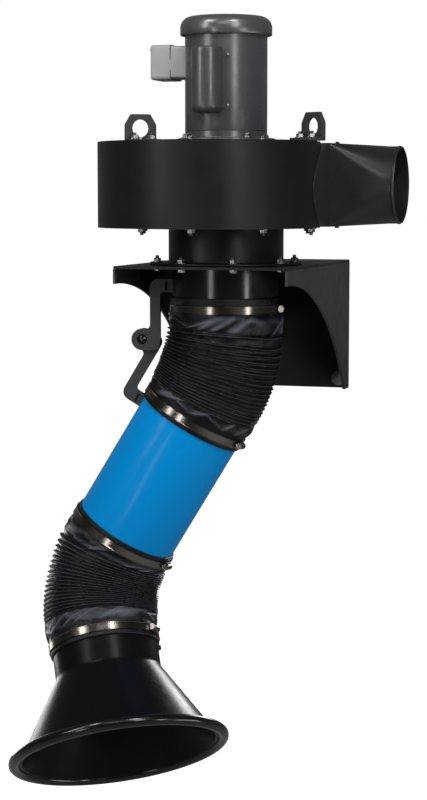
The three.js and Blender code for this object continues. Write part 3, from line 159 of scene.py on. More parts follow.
def plate(outline, holes, low, high, blind=(), floor=0.0):
    """Flat plate with holes, between two heights. Blind holes go from the top down to a floor."""
    loops = [list(loop) for loop in (outline, *holes, *blind)]
    starts = np.cumsum([0] + [len(loop) for loop in loops])
    flat = [p for loop in loops for p in loop]
    count, through = len(flat), len(loops) - len(blind)
    sunk = starts[through]
    points = [(x, y, low if k < sunk else floor) for k, (x, y) in enumerate(flat)] + [(x, y, high) for x, y in flat]

    def filled(chosen, start):
        corners = tessellate_polygon([[Vector((x, y, 0)) for x, y in loop] for loop in chosen])
        return [tuple(start + k for k in corner) for corner in corners]

    faces = filled(loops[:through], 0) + filled(loops, count)
    for k in range(through, len(loops)):
        faces += filled([loops[k]], starts[k])
    for k, loop in enumerate(loops):
        for step in range(len(loop)):
            here, after = starts[k] + step, starts[k] + (step + 1) % len(loop)
            faces.append((here, after, after + count, here + count))
    return points, faces


def joined(*shells):
    points, faces = [], []
    for shell_points, shell_faces in shells:
        start = len(points)
        points += list(shell_points)
        faces += [tuple(start + k for k in face) for face in shell_faces]
    return points, faces


def copied(shell, places):
    points, faces = shell
    return joined(*[([tuple(place @ Vector(p)) for p in points], faces) for place in places])


# %% [markdown]
# Real sheet metal and castings have no razor edges, and the soft line along an edge is what a camera sees
# first. Corners of drawn profiles are rounded here, in the drawing, and flat plates get a bevel modifier later.
# Rounding the drawing is cheaper than bevelling a finished mesh, and it never fails.

# %% Rounded drawings
def rounded(corners, bend, steps=4):
    """Closed outline whose corners are rounded. A corner may carry its own bend as a third number."""
    points = []
    for index, corner in enumerate(corners):
        radius = corner[2] if len(corner) > 2 else bend
        here = Vector(corner[:2])
        back = Vector(corners[index - 1][:2]) - here
        ahead = Vector(corners[(index + 1) % len(corners)][:2]) - here
        if radius <= 0 or back.length < 1e-6 or ahead.length < 1e-6:
            points.append(tuple(here))
            continue
        reach = radius / math.tan(max(back.angle(ahead), 0.05) / 2)
        reach = min(reach, back.length * 0.49, ahead.length * 0.49)
        first, last = here + back.normalized() * reach, here + ahead.normalized() * reach
        for step in range(steps + 1):
            t = step / steps
            points.append(tuple(first * (1 - t) ** 2 + here * (2 * t * (1 - t)) + last * t * t))
    return points


def circle(radius, steps, x=0, y=0, start=0.0, sweep=2 * math.pi):
    return [
        (x + radius * math.cos(start + sweep * k / steps), y + radius * math.sin(start + sweep * k / steps))
        for k in range(steps)
    ]


# %% [markdown]
# A shell becomes an object in metres, in the CAD frame. Doubled points are merged, so that one skin is closed,
# and edges sharper than a set angle stay crisp while the rest is shaded smooth. Every piece then rides on a
# body, hides the nodes that it stands for and takes a finish.

# %% From shell to piece
def skin(name, shell, place=Matrix.Identity(4), crease=38, bevel=0.0):
    points, faces = shell
    grid = np.array(points, float) @ np.array(place.to_3x3()).T + np.array(place.translation)
    mesh = bpy.data.meshes.new(name)
    mesh.from_pydata((grid * MM).tolist(), [], faces)
    work = bmesh.new()
    work.from_mesh(mesh)
    bmesh.ops.remove_doubles(work, verts=work.verts, dist=1e-6)
    bmesh.ops.dissolve_degenerate(work, edges=work.edges, dist=1e-7)
    bmesh.ops.recalc_face_normals(work, faces=work.faces)
    work.to_mesh(mesh)
    work.free()
    mesh.shade_smooth()
    mesh.set_sharp_from_angle(angle=math.radians(crease))
    piece = bpy.data.objects.new(name, mesh)
    bpy.context.scene.collection.objects.link(piece)
    if bevel:
        modifier = piece.modifiers.new("soft_edges", "BEVEL")
        modifier.width = bevel * MM
        modifier.segments = 2
        modifier.limit_method = "ANGLE"
        modifier.angle_limit = math.radians(crease)
        modifier.harden_normals = True
    return piece


def fit(piece, body, slot, finish, *nodes):
    piece.data.materials.append(finish)
    if "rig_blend" not in piece:
        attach(piece, body)
    if nodes:
        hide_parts(*nodes)
    print(f"{piece.name}: {len(piece.data.polygons)} faces on {body}")
    return piece


# %% [markdown]
# Finishes are node graphs, never one flat colour. A small helper adds nodes and wires them. The common paint
# graph has three scales: a broad mottle that shifts the tone, a middling one that shifts the gloss, and the fine
# orange-peel bump that sprayed paint has. Edges are found with a bevel node and painted a little lighter: partly
# edge wear, partly a painted highlight along each edge.

# %% Paint graph
class Finish:
    def __init__(self, name, **shader):
        self.material = bpy.data.materials.new(name)
        self.material.use_nodes = True
        self.tree = self.material.node_tree
        self.shader = self.tree.nodes["Principled BSDF"]
        for socket, value in shader.items():
            self.shader.inputs[socket.replace("_", " ")].default_value = value
        self.place = self.add("TexCoord").outputs["Object"]

    def add(self, kind, links=(), **settings):
        node = self.tree.nodes.new("ShaderNode" + kind)
        for key, value in settings.items():
            socket = node.inputs.get(key.replace("_", " "))
            if socket is not None:
                socket.default_value = value
            else:
                setattr(node, key, value)
        for socket, source in dict(links).items():
            self.tree.links.new(source, node.inputs[socket])
        return node

    def noise(self, scale, detail=3.0, place=None):
        node = self.add("TexNoise", {"Vector": place or self.place}, Scale=scale, Detail=detail)
        return node.outputs["Fac"]

    def between(self, mask, low, high, start=0.0, end=1.0):
        node = self.add("MapRange", {"Value": mask}, To_Min=low, To_Max=high, From_Min=start, From_Max=end)
        return node.outputs["Result"]

    def tones(self, mask, dark, light):
        node = self.add("Mix", data_type="RGBA")
        self.tree.links.new(mask, node.inputs["Factor"])
        for socket, value in (("A", dark), ("B", light)):
            target = [s for s in node.inputs if s.name == socket and s.type == "RGBA"][0]
            if isinstance(value, tuple):
                target.default_value = (*value, 1)
            else:
                self.tree.links.new(value, target)
        return [s for s in node.outputs if s.type == "RGBA"][0]

    def wire(self, source, socket):
        self.tree.links.new(source, self.shader.inputs[socket])

    def bump(self, height, strength, distance):
        node = self.add("Bump", {"Height": height}, Strength=strength, Distance=distance)
        self.wire(node.outputs["Normal"], "Normal")
        return node


def paint(name, dark, light, gloss, peel=0.12, worn_and_lit_edge_tone=None, **shader):
    """Sprayed or baked paint: mottled tone, uneven gloss, orange peel, and lighter edges that are partly edge wear and
    partly a painted highlight.
    """
    coat = Finish(name, **shader)
    tone = coat.tones(coat.noise(9, 5), dark, light)
    # Edges painted lighter: partly edge wear, partly a painted highlight along each edge.
    if worn_and_lit_edge_tone:
        edge = coat.add("Bevel", samples=4, Radius=0.0012)
        flat = coat.add("NewGeometry")
        bent = coat.add("VectorMath", {0: edge.outputs["Normal"], 1: flat.outputs["Normal"]}, operation="DOT_PRODUCT")
        rub_and_highlight = coat.between(bent.outputs["Value"], 1.0, 0.0, 0.80, 0.97)
        patchy = coat.add("Math", {0: rub_and_highlight, 1: coat.noise(60, 4)}, operation="MULTIPLY")
        tone = coat.tones(patchy.outputs["Value"], tone, worn_and_lit_edge_tone)
    coat.wire(tone, "Base Color")
    coat.wire(coat.between(coat.noise(34, 4), gloss[0], gloss[1], 0.3, 0.7), "Roughness")
    coat.bump(coat.noise(650, 2), peel, 0.0004)
    return coat.material


def metal(name, dark, light, gloss, grain=(1, 1, 1), scale=220, dents=0.15, **shader):
    """Bare metal: tone and gloss follow a grain that may be drawn out along one direction."""
    bare = Finish(name, Metallic=1.0, **shader)
    stretch = bare.add("Mapping", {"Vector": bare.place}, Scale=grain)
    drawn = bare.noise(scale, 4, stretch.outputs["Vector"])
    bare.wire(bare.tones(drawn, dark, light), "Base Color")
    bare.wire(bare.between(drawn, gloss[0], gloss[1], 0.3, 0.7), "Roughness")
    bare.bump(drawn, dents, 0.0002)
    return bare.material


# %% [markdown]
# The bracket and blower wear a satin black powder coat. The swivel tube and the hood are glossier, so they show
# the studio's lamps as streaks. The motor is dark grey machine enamel, its terminal box a lighter grey, and the
# tube between the hoses a deep blue gloss under a clear coat.

# %% Painted finishes
BLACK = paint("black_powder_coat", (0.0058, 0.0056, 0.0060), (0.0092, 0.0090, 0.0096), (0.34, 0.42), 0.08,
              (0.035, 0.035, 0.038), Specular_IOR_Level=0.17)
# The black powder coat painted lighter, a lit copy of the one above: painted light on the outlet, its cheek and the
# gussets, and on the wall plate, which sits in shade.
BLACK_PAINTED_LIGHTER = paint("black_coat_painted_lighter", (0.011, 0.011, 0.0115), (0.016, 0.0155, 0.0165), (0.30, 0.38), 0.08,
                     (0.05, 0.05, 0.053), Specular_IOR_Level=0.35)
GLOSS_BLACK = paint("black_gloss_paint", (0.005, 0.005, 0.006), (0.008, 0.008, 0.0095), (0.17, 0.24), 0.04,
                    (0.04, 0.04, 0.045), Specular_IOR_Level=0.30)
HOOD_BLACK = paint("hood_gloss_black", (0.0036, 0.0036, 0.0040), (0.0055, 0.0055, 0.0060), (0.24, 0.32), 0.03,
                   (0.04, 0.04, 0.044), Specular_IOR_Level=0.07)
RIM_BLACK = paint("rim_gloss_black", (0.0036, 0.0036, 0.0040), (0.0055, 0.0055, 0.0060), (0.15, 0.21), 0.03,
                  Specular_IOR_Level=0.36)
GREY = paint("grey_machine_enamel", (0.040, 0.040, 0.043), (0.052, 0.052, 0.056), (0.25, 0.33), 0.08,
             (0.12, 0.12, 0.125), Specular_IOR_Level=0.5)
COVER_GREY = paint("pressed_cover_enamel", (0.046, 0.046, 0.049), (0.058, 0.058, 0.062), (0.27, 0.32), 0.05,
                   (0.12, 0.12, 0.125), Specular_IOR_Level=0.9)
BOX_GREY = paint("terminal_box_grey", (0.225, 0.22, 0.22), (0.275, 0.27, 0.27), (0.36, 0.46), 0.08,
                 (0.55, 0.55, 0.55), Specular_IOR_Level=0.5)
BLUE = paint("blue_gloss_paint", (0.0010, 0.190, 0.485), (0.0014, 0.210, 0.535), (0.26, 0.32), 0.05,
             (0.10, 0.30, 0.55), Specular_IOR_Level=0.05, Coat_Weight=0.03, Coat_Roughness=0.06)
LINK_GREY = paint("link_satin_paint", (0.026, 0.026, 0.028), (0.037, 0.037, 0.040), (0.42, 0.54), 0.14,
                  (0.10, 0.10, 0.105), Specular_IOR_Level=0.25)
print("paints:", [m.name for m in bpy.data.materials if m.use_nodes][-7:])

# %% [markdown]
# Bare metals differ mostly in tone and in the direction of their grain: zinc plating is cloudy, the clamp bands
# are brushed along their length, and the parts inside the blower and the motor are plain steel, cast alloy and
# copper. Plastics and the friction lining are the same graph without the metal.

# %% Metals and plastics
ZINC = metal("zinc_plate", (0.17, 0.175, 0.18), (0.36, 0.365, 0.375), (0.30, 0.46), scale=420)
CLAMP = metal("clamp_stainless", (0.11, 0.10, 0.085), (0.22, 0.205, 0.18), (0.15, 0.23), (1, 1, 9), 60, 0.02)
OXIDE = metal("black_oxide_steel", (0.015, 0.015, 0.017), (0.040, 0.040, 0.044), (0.30, 0.45))
STEEL = metal("plain_steel", (0.20, 0.20, 0.21), (0.36, 0.36, 0.37), (0.34, 0.5))
BEARING = metal("bearing_steel", (0.5, 0.5, 0.51), (0.7, 0.7, 0.71), (0.14, 0.24))
ALLOY = metal("cast_alloy", (0.36, 0.36, 0.37), (0.5, 0.5, 0.51), (0.45, 0.62), scale=700)
COPPER = metal("copper_wire", (0.45, 0.17, 0.08), (0.68, 0.30, 0.15), (0.3, 0.45), (1, 1, 12), 500)
SLIDE = paint("slide_plastic", (0.72, 0.70, 0.64), (0.80, 0.78, 0.72), (0.42, 0.52), 0.05)
FAN_BLACK = paint("fan_plastic", (0.012, 0.012, 0.013), (0.02, 0.02, 0.022), (0.45, 0.55), 0.08)
LINING = paint("friction_lining", (0.05, 0.042, 0.035), (0.10, 0.085, 0.07), (0.75, 0.9), 0.5)
INNER_FINISHES = {
    "plain_steel": (STEEL, "inlet_cone", "retaining_ring", "motor_shaft", "rotor_core", "impeller", "stator_core",
                    "arm_yoke", "wrist_cross", "hood_yoke"),
    "bearing_steel": (BEARING, "bearing_lower", "bearing_upper"),
    "cast_alloy": (ALLOY, "motor_end_bell", "capacitor"),
    "copper_wire": (COPPER, "winding_upper", "winding_lower"),
    "slide_plastic": (SLIDE, "slide_ring"),
    "fan_plastic": (FAN_BLACK, "cooling_fan"),
    "friction_lining": (LINING, "friction_disc"),
}
for finish, *names in INNER_FINISHES.values():
    for node in names:
        slots = frame["nodes"][node].data.materials
        slots.clear()
        slots.append(finish)
print("inner nodes dressed:", sum(len(row) - 1 for row in INNER_FINISHES.values()))

# %% [markdown]
# Hose cloth is coated fabric over a wire spiral. Its weave is drawn from the piece's own unwrapped lengths, so
# it bends with the cloth. The crest of each rib is paler: partly the coating thinned by wear against the wire,
# partly a painted highlight. The fold ridges of the cuffs carry a painted highlight. The crest is stored on the
# mesh's points when the hose is made. The lower hose's cloth is a lighter tone than the upper's.

# %% Hose cloth
def hose_cloth(name, deep, pale_mottle, rub_and_highlight):
    cloth = Finish(name, Specular_IOR_Level=0.20)
    lengths = cloth.add("UVMap", uv_map="lengths").outputs["UV"]
    crest = cloth.add("Attribute", attribute_name="crest").outputs["Fac"]
    base = cloth.tones(cloth.noise(22, 6), deep, pale_mottle)
    # Cuff fold ridges, where crest is below zero, get a painted highlight.
    folds = cloth.tones(cloth.between(crest, 1.0, 0.0, -0.95, -0.3), base, (0.080, 0.085, 0.102))
    # Rib crests get a paler tone: partly wear against the wire, partly a painted highlight.
    cloth.wire(cloth.tones(cloth.between(crest, 0, 0.9, 0.58, 0.90), folds, rub_and_highlight), "Base Color")
    cloth.wire(cloth.between(cloth.noise(70, 5), 0.24, 0.38, 0.3, 0.7), "Roughness")
    warp = cloth.add("TexWave", {"Vector": lengths}, Scale=160.0, bands_direction="X")
    weft = cloth.add("TexWave", {"Vector": lengths}, Scale=160.0, bands_direction="Y")
    weave = cloth.add("Math", {0: warp.outputs["Fac"], 1: weft.outputs["Fac"]}, operation="ADD")
    crumple = cloth.add("Math", {0: weave.outputs["Value"], 1: cloth.noise(120, 5)}, operation="MULTIPLY")
    cloth.bump(crumple.outputs["Value"], 0.35, 0.0008)
    print(name, "nodes:", len(cloth.tree.nodes))
    return cloth.material


UPPER_CLOTH = hose_cloth("upper_hose_cloth", (0.0012, 0.0014, 0.0019), (0.0034, 0.0037, 0.0052), (0.050, 0.053, 0.060))
LOWER_CLOTH = hose_cloth("lower_hose_cloth", (0.0040, 0.0043, 0.0052), (0.0095, 0.0100, 0.0122), (0.104, 0.109, 0.121))

# %% [markdown]
# The studio is a pale floor far below the hood, a white surround behind the object and a dim one in front, so
# that black paint stays black and only its edges pick up the white. Two tall soft boxes stand left and right of
# the camera and draw the two upright streaks that run down the motor, the blower and the tubes.

# %% Floor, surround and lamps
FLOOR_LEVEL, FLOOR_HALF = -1.45, 14.0
floor_mesh = bpy.data.meshes.new("floor")
floor_mesh.from_pydata([(x * FLOOR_HALF, y * FLOOR_HALF, FLOOR_LEVEL) for x, y in ((-1, -1), (1, -1), (1, 1), (-1, 1))],
                       [], [(0, 1, 2, 3)])
floor = bpy.data.objects.new("floor", floor_mesh)
bpy.context.scene.collection.objects.link(floor)
pale = Finish("studio_floor", Roughness=0.8, Emission_Color=(1, 1, 1, 1))
pale.wire(pale.tones(pale.noise(0.6), (0.40, 0.40, 0.40), (0.44, 0.44, 0.44)), "Base Color")
pale.wire(pale.between(pale.add("LightPath").outputs["Is Camera Ray"], 0.0, 1.0), "Emission Strength")
floor_mesh.materials.append(pale.material)

surround = bpy.data.worlds.new("surround")
bpy.context.scene.world = surround
surround.use_nodes = True
sky = surround.node_tree
sky.nodes.clear()
BEHIND = Vector((-math.sin(math.radians(CAMERA_TURN)), math.cos(math.radians(CAMERA_TURN)), 0.0))
heading = sky.nodes.new("ShaderNodeTexCoord")
toward = sky.nodes.new("ShaderNodeVectorMath")
toward.operation = "DOT_PRODUCT"
toward.inputs[1].default_value = BEHIND
fade = sky.nodes.new("ShaderNodeMapRange")
fade.interpolation_type = "SMOOTHSTEP"
fade.inputs["From Min"].default_value = -0.10
fade.inputs["From Max"].default_value = 0.95
fade.inputs["To Min"].default_value = 0.045
fade.inputs["To Max"].default_value = 0.16
seen = sky.nodes.new("ShaderNodeLightPath")
brighter = sky.nodes.new("ShaderNodeMath")
brighter.operation = "MAXIMUM"
glow = sky.nodes.new("ShaderNodeBackground")
glow.inputs["Color"].default_value = (1.0, 1.0, 1.0, 1)
output = sky.nodes.new("ShaderNodeOutputWorld")
for source, target in (
    (heading.outputs["Generated"], toward.inputs[0]),
    (toward.outputs["Value"], fade.inputs["Value"]),
    (fade.outputs["Result"], brighter.inputs[0]),
    (seen.outputs["Is Camera Ray"], brighter.inputs[1]),
    (brighter.outputs["Value"], glow.inputs["Strength"]),
    (glow.outputs["Background"], output.inputs["Surface"]),
):
    sky.links.new(source, target)


def soft_box(name, azimuth, distance, height, width, tall, power, aim=(0.0, -0.317, 0.0)):
    """Area lamp that stands round the fan's axis. Azimuth counts from the camera, to the right."""
    lamp_data = bpy.data.lights.new(name, "AREA")
    lamp_data.shape = "RECTANGLE"
    lamp_data.size, lamp_data.size_y, lamp_data.energy = width, tall, power
    lamp = bpy.data.objects.new(name, lamp_data)
    angle = math.radians(-90 + CAMERA_TURN + azimuth)
    place = Vector(aim) + Vector((math.cos(angle), math.sin(angle), 0)) * distance
    place.z = height
    lamp.location = place
    lamp.rotation_euler = (Vector(aim) + Vector((0, 0, height * 0.6)) - place).to_track_quat("-Z", "Y").to_euler()
    bpy.context.scene.collection.objects.link(lamp)
    return lamp


soft_box("upper_box_left", -54, 2.9, 1.15, 0.50, 1.7, 30)
soft_box("upper_box_right", 23, 2.9, 1.15, 0.50, 1.7, 32)
soft_box("high_box_left", -50, 2.3, 2.7, 0.6, 0.6, 44)
soft_box("high_box_right", 22, 2.3, 2.7, 0.6, 0.6, 44)
soft_box("overhead_box", -6, 3.1, 1.9, 1.1, 0.5, 16)
soft_box("lower_box_left", -33, 2.9, -0.40, 0.36, 0.8, 9)
soft_box("lower_box_right", 44, 2.9, -0.40, 0.38, 0.8, 11)
soft_box("side_fill_right", 72, 2.6, -1.00, 1.4, 0.6, 17)
soft_box("rim_box_right", 156, 0.92, -0.37, 0.3, 0.3, 0.45, (0.0, -0.317, -0.5)).data.spread = math.radians(56)
soft_box("rim_box_left", -142, 2.6, -0.85, 1.4, 0.7, 11)
bpy.context.scene.view_settings.view_transform = "Standard"

# %% [markdown]
# The bracket is folded and welded from 5 mm sheet: a wall plate, a top plate with a large hole for the duct and
# two gussets whose lower edge sweeps in an elliptical curve. Flat plates are cut from an outline with holes, and
# a bevel modifier softens every edge, as a deburring wheel does.

# %% Wall bracket
BRACKET_HALF, BRACKET_REACH, BRACKET_TOP, BRACKET_DROP, SHEET = 169, 488, 129, 265, 5
BRACKET_FOOT = BRACKET_TOP - BRACKET_DROP
FAN_REACH = 317
FACING_WALL = Matrix(((1, 0, 0, 0), (0, 0, -1, 0), (0, 1, 0, 0), (0, 0, 0, 1)))
ANCHORS = [(x, z) for z in (BRACKET_TOP - SHEET - 20, BRACKET_FOOT + 20) for x in (-148, 148)]
wall_outline = [(-BRACKET_HALF, BRACKET_FOOT), (BRACKET_HALF, BRACKET_FOOT), (BRACKET_HALF, BRACKET_TOP),
                (-BRACKET_HALF, BRACKET_TOP)]
wall_holes = [circle(6.5, 24, x, z)[::-1] for x, z in ANCHORS]
# The wall plate sits in shade and takes the black painted lighter: painted light.
fit(skin("wall_back_plate", plate(rounded(wall_outline, 3), wall_holes, 0, SHEET), FACING_WALL, bevel=0.8),
    "bracket", "black_paint", BLACK_PAINTED_LIGHTER, "wall_plate")

BOLT_TURNS = [math.radians(22.5 + 45 * k) for k in range(8)]
FLANGE_BOLTS = 132.5
top_outline = [(-BRACKET_HALF, -BRACKET_REACH), (BRACKET_HALF, -BRACKET_REACH), (BRACKET_HALF, -SHEET - SEAT),
               (-BRACKET_HALF, -SHEET - SEAT)]
top_holes = [circle(104.4, 96, 0, -FAN_REACH)[::-1]]
fit(skin("top_shelf_plate", plate(rounded(top_outline, 4), top_holes, BRACKET_TOP - SHEET, BRACKET_TOP), bevel=0.8),
    "bracket", "black_paint", BLACK, "bracket_top_plate")

# %% [markdown]
# A gusset's curve is part of an ellipse that leaves the nose level and meets the wall plate at the foot. Plotting
# it in fine steps keeps the long edge smooth, where the CAD solid has facets.

# %% Gussets
NOSE_HEIGHT, NOSE_LENGTH, FOOT_DEPTH, CURVE_SINK = 33, 10, 36, 225
curve_centre = BRACKET_REACH - NOSE_LENGTH
curve_sink = BRACKET_DROP + CURVE_SINK
radius_z = curve_sink - NOSE_HEIGHT
end_turn = math.pi - math.asin(CURVE_SINK / radius_z)
radius_y = (curve_centre - FOOT_DEPTH) / -math.cos(end_turn)
sweep = [math.pi / 2 + (end_turn - math.pi / 2) * k / 48 for k in range(49)]
gusset_outline = [(SHEET + SEAT, -BRACKET_DROP), (SHEET + SEAT, -SHEET - SEAT), (BRACKET_REACH, -SHEET - SEAT),
                  (BRACKET_REACH, -NOSE_HEIGHT)]
gusset_outline += [(curve_centre + radius_y * math.cos(a), -curve_sink + radius_z * math.sin(a)) for a in sweep]
GUSSET_STAND = Matrix(((0, 0, 1, 0), (-1, 0, 0, 0), (0, 1, 0, BRACKET_TOP), (0, 0, 0, 1)))
# The gussets take the black painted lighter: painted light for the light their faces catch.
for side, low in (("left", -BRACKET_HALF), ("right", BRACKET_HALF - SHEET)):
    fit(skin(f"gusset_sheet_{side}", plate(gusset_outline, [], low, low + SHEET), GUSSET_STAND, bevel=0.8),
        "bracket", "black_paint", BLACK_PAINTED_LIGHTER, f"gusset_{side}")

# %% [markdown]
# Small fasteners give the eye its scale. A hex head has a chamfered crown and a washer, and a nut shows the end
# of its stud. Each kind is drawn once and copied, and all copies of a kind on one body are one piece, so the
# scene stays tidy.

# %% Fastener shells
def hex_body(radius, low, high, chamfer=0.9):
    rings = [[(r * math.cos(a), r * math.sin(a), z) for a in [math.radians(60 * k) for k in range(6)]]
             for r, z in ((radius, low), (radius, high - chamfer), (radius - 1.6 * chamfer, high))]
    return loft(rings)


def hex_bolt(radius, height, washer=1.6):
    ring = lathe(rounded([(0, 0, 0), (radius * 1.35, 0), (radius * 1.35, washer), (0, washer, 0)], 0.5), 28)
    crown = lathe(rounded([(0, washer, 0), (radius * 0.8, washer, 0), (radius * 0.8, washer + height + 0.4),
                           (0, washer + height + 0.4, 0)], 0.4), 20)
    return joined(ring, hex_body(radius, washer, washer + height), crown)


def stud_nut(radius, height, stud, washer=1.6):
    thread = [(0, 0)]
    steps = 5
    for k in range(steps):
        z = washer + height + stud * k / steps
        thread += [(radius * 0.5, z), (radius * 0.44, z + stud / steps * 0.5)]
    thread += [(radius * 0.36, washer + height + stud), (0, washer + height + stud)]
    ring = lathe(rounded([(0, 0, 0), (radius * 1.35, 0), (radius * 1.35, washer), (0, washer, 0)], 0.5), 28)
    return joined(ring, hex_body(radius, washer, washer + height), lathe(thread, 16))


def pan_screw(radius, height):
    """Domed head with a dimple where the driver goes."""
    dome = [(0, 0), (radius, 0), (radius, 0.35 * height), (0.9 * radius, 0.7 * height), (0.65 * radius, 0.93 * height),
            (0.38 * radius, height), (0.3 * radius, 0.55 * height), (0, 0.5 * height)]
    return lathe(dome, 24)


def bolt_ring(count_turns, radius, z, place):
    return [place @ shift(radius * math.cos(a), radius * math.sin(a), z) for a in count_turns]


# %% Anchors and flange bolts
anchor_places = [shift(x, -SHEET - SEAT, z) @ turn(90, "X") for x, z in ANCHORS]
fit(skin("wall_anchor_bolts", copied(hex_bolt(11, 7.5, 2.5), anchor_places)), "bracket", "zinc_steel", ZINC,
    "wall_anchor_1", "wall_anchor_2", "wall_anchor_3", "wall_anchor_4")
upper_nuts = bolt_ring(BOLT_TURNS, FLANGE_BOLTS, 4.3, FAN)
under_heads = [m @ turn(180, "X") for m in bolt_ring(BOLT_TURNS, FLANGE_BOLTS, -SHEET, FAN)]
fit(skin("flange_nuts", copied(stud_nut(7.5, 6.5, 5), upper_nuts)), "bracket", "zinc_steel", ZINC)
fit(skin("flange_bolt_heads", copied(hex_bolt(7.5, 5.5), under_heads)), "bracket", "zinc_steel", ZINC)

# %% [markdown]
# The spool carries the blower over the plate, and the swivel tube hangs inside it. Both are turned from one
# profile each. The hidden lip of the tube is kept, because the open duct shows it from below.

# %% Spool and swivel tube
SPOOL_RADIUS, SPOOL_BORE, FLANGE_RADIUS = 110.5, 108.5, 146.5
spool_profile = [(SPOOL_BORE, 0.3), (FLANGE_RADIUS, 0.3, 1), (FLANGE_RADIUS, 4.3, 1), (SPOOL_RADIUS, 4.3, 4),
                 (SPOOL_RADIUS, 69.7), (SPOOL_BORE, 69.7)]
fit(skin("blower_spool", lathe(rounded(spool_profile, 0.4), 128), FAN), "bracket", "black_paint", BLACK, "inlet_spool")
TUBE_BORE = DUCT_RADIUS - 2
swivel_profile = [(TUBE_BORE, -100), (DUCT_RADIUS, -100), (DUCT_RADIUS, 2.6, 0.4), (106.3, 2.6), (106.3, 6.6),
                  (TUBE_BORE, 6.6)]
fit(skin("swivel_duct", lathe(rounded(swivel_profile, 0.6), 128), SWIVEL), "swivel", "black_paint", GLOSS_BLACK,
    "swivel_tube")

# %% [markdown]
# The blower casing is a spiral: its wall starts near the wheel at the tongue and moves out evenly for three
# quarters of a turn, then runs straight to the outlet. The line is plotted in fine steps and used three times,
# for the wrapped wall and for the two plates, so the three always agree.

# %% Blower casing
SCROLL_START, SCROLL_END, THROAT, OUTLET = 180, 290, 165, 172
SCROLL_STEPS = 150


def scroll_line(inset):
    front = SCROLL_END - THROAT + inset
    first = -math.asin(front / (SCROLL_START - inset))
    last = math.radians(270)
    points = [(OUTLET, front)]
    for step in range(SCROLL_STEPS + 1):
        a = first + (last - first) * step / SCROLL_STEPS
        radius = SCROLL_START + (SCROLL_END - SCROLL_START) * max(0, a / last) - inset
        points.append((radius * math.cos(a), -radius * math.sin(a)))
    return points + [(OUTLET, SCROLL_END - inset)]


casing_low, casing_high = BLOWER_FLOOR + BLOWER_SHEET + SEAT, BLOWER_FLOOR + BLOWER_HEIGHT - BLOWER_SHEET - SEAT
wall_line = scroll_line(0) + scroll_line(BLOWER_SHEET)[::-1]
fit(skin("scroll_wrap", plate(wall_line, [], casing_low, casing_high), FAN, crease=30),
    "bracket", "black_paint", BLACK, "blower_scroll")
for name, low, hole in (("bottom", BLOWER_FLOOR, SPOOL_BORE), ("top", BLOWER_FLOOR + BLOWER_HEIGHT - BLOWER_SHEET, 26)):
    shell = plate(scroll_line(0)[::-1], [circle(hole, 72)[::-1]], low, low + BLOWER_SHEET)
    fit(skin(f"casing_{name}_sheet", shell, FAN, bevel=0.9), "bracket", "black_paint", BLACK, f"blower_{name}_plate")

# %% [markdown]
# The outlet changes from square to round. A tinsmith rolls each corner of the square into a quarter cone and
# leaves flat triangles between, and the loft does the same: each corner of the square is a small round bend with as
# many points as a quarter of the circle. The collar ends in a small bead that a duct slides over.

# %% Outlet transition
PER_CORNER, COLLAR_RADIUS, COLLAR_LENGTH, TRANSITION, CORNER_BEND = 24, 76, 22, 104, 4.5
middle_y, middle_z = SCROLL_END - THROAT / 2, BLOWER_FLOOR + BLOWER_HEIGHT / 2


def outlet_section(x, radius=None, inset=0.0):
    points = []
    for step in range(4 * PER_CORNER):
        a = 2 * math.pi * (step + 0.5) / (4 * PER_CORNER)
        if radius is None:
            reach = CORNER_BEND - inset
            y = math.copysign(THROAT / 2 - CORNER_BEND, math.cos(a)) + reach * math.cos(a)
            z = math.copysign(BLOWER_HEIGHT / 2 - CORNER_BEND, math.sin(a)) + reach * math.sin(a)
        else:
            y, z = (radius - inset) * math.cos(a), (radius - inset) * math.sin(a)
        points.append((x, middle_y + y, middle_z + z))
    return points


begin, end = OUTLET + SEAT, OUTLET + SEAT + TRANSITION
tip = end + COLLAR_LENGTH
outer = [outlet_section(begin), outlet_section(end, COLLAR_RADIUS), outlet_section(tip - 6, COLLAR_RADIUS),
         outlet_section(tip - 4.4, COLLAR_RADIUS + 1.1), outlet_section(tip - 2.8, COLLAR_RADIUS + 1.1),
         outlet_section(tip - 1.2, COLLAR_RADIUS), outlet_section(tip, COLLAR_RADIUS - 0.3)]
inner = [outlet_section(tip, COLLAR_RADIUS, 2.2), outlet_section(end, COLLAR_RADIUS, BLOWER_SHEET),
         outlet_section(begin, None, BLOWER_SHEET)]
# The transition takes the black painted lighter: painted light.
fit(skin("outlet_square_to_round", loft(outer + inner, wrap=True), FAN, crease=24), "bracket", "black_paint", BLACK_PAINTED_LIGHTER,
    "outlet_transition")

# %% [markdown]
# Where the scroll turns in to its tongue, a bowed cheek closes the notch between the scroll and the outlet. Its
# front edge laps onto the scroll in a curve that swings out at half height. It is built level by level: the bent
# cheek outside, and the scroll's own line, sunk into its wall, inside. Two screws hold the transition.

# %% Outlet cheek and screws
CHEEK_LAP, CHEEK_BULGE, CHEEK_LEVELS, SEAM_SWING = 2.2, 5, 24, (-4, 72, -82)
TONGUE = -math.asin((SCROLL_END - THROAT) / SCROLL_START)


def scroll_point(a, proud):
    radius = SCROLL_START + (SCROLL_END - SCROLL_START) * max(0, a / math.radians(270)) + proud
    return Vector((radius * math.cos(a), -radius * math.sin(a)))


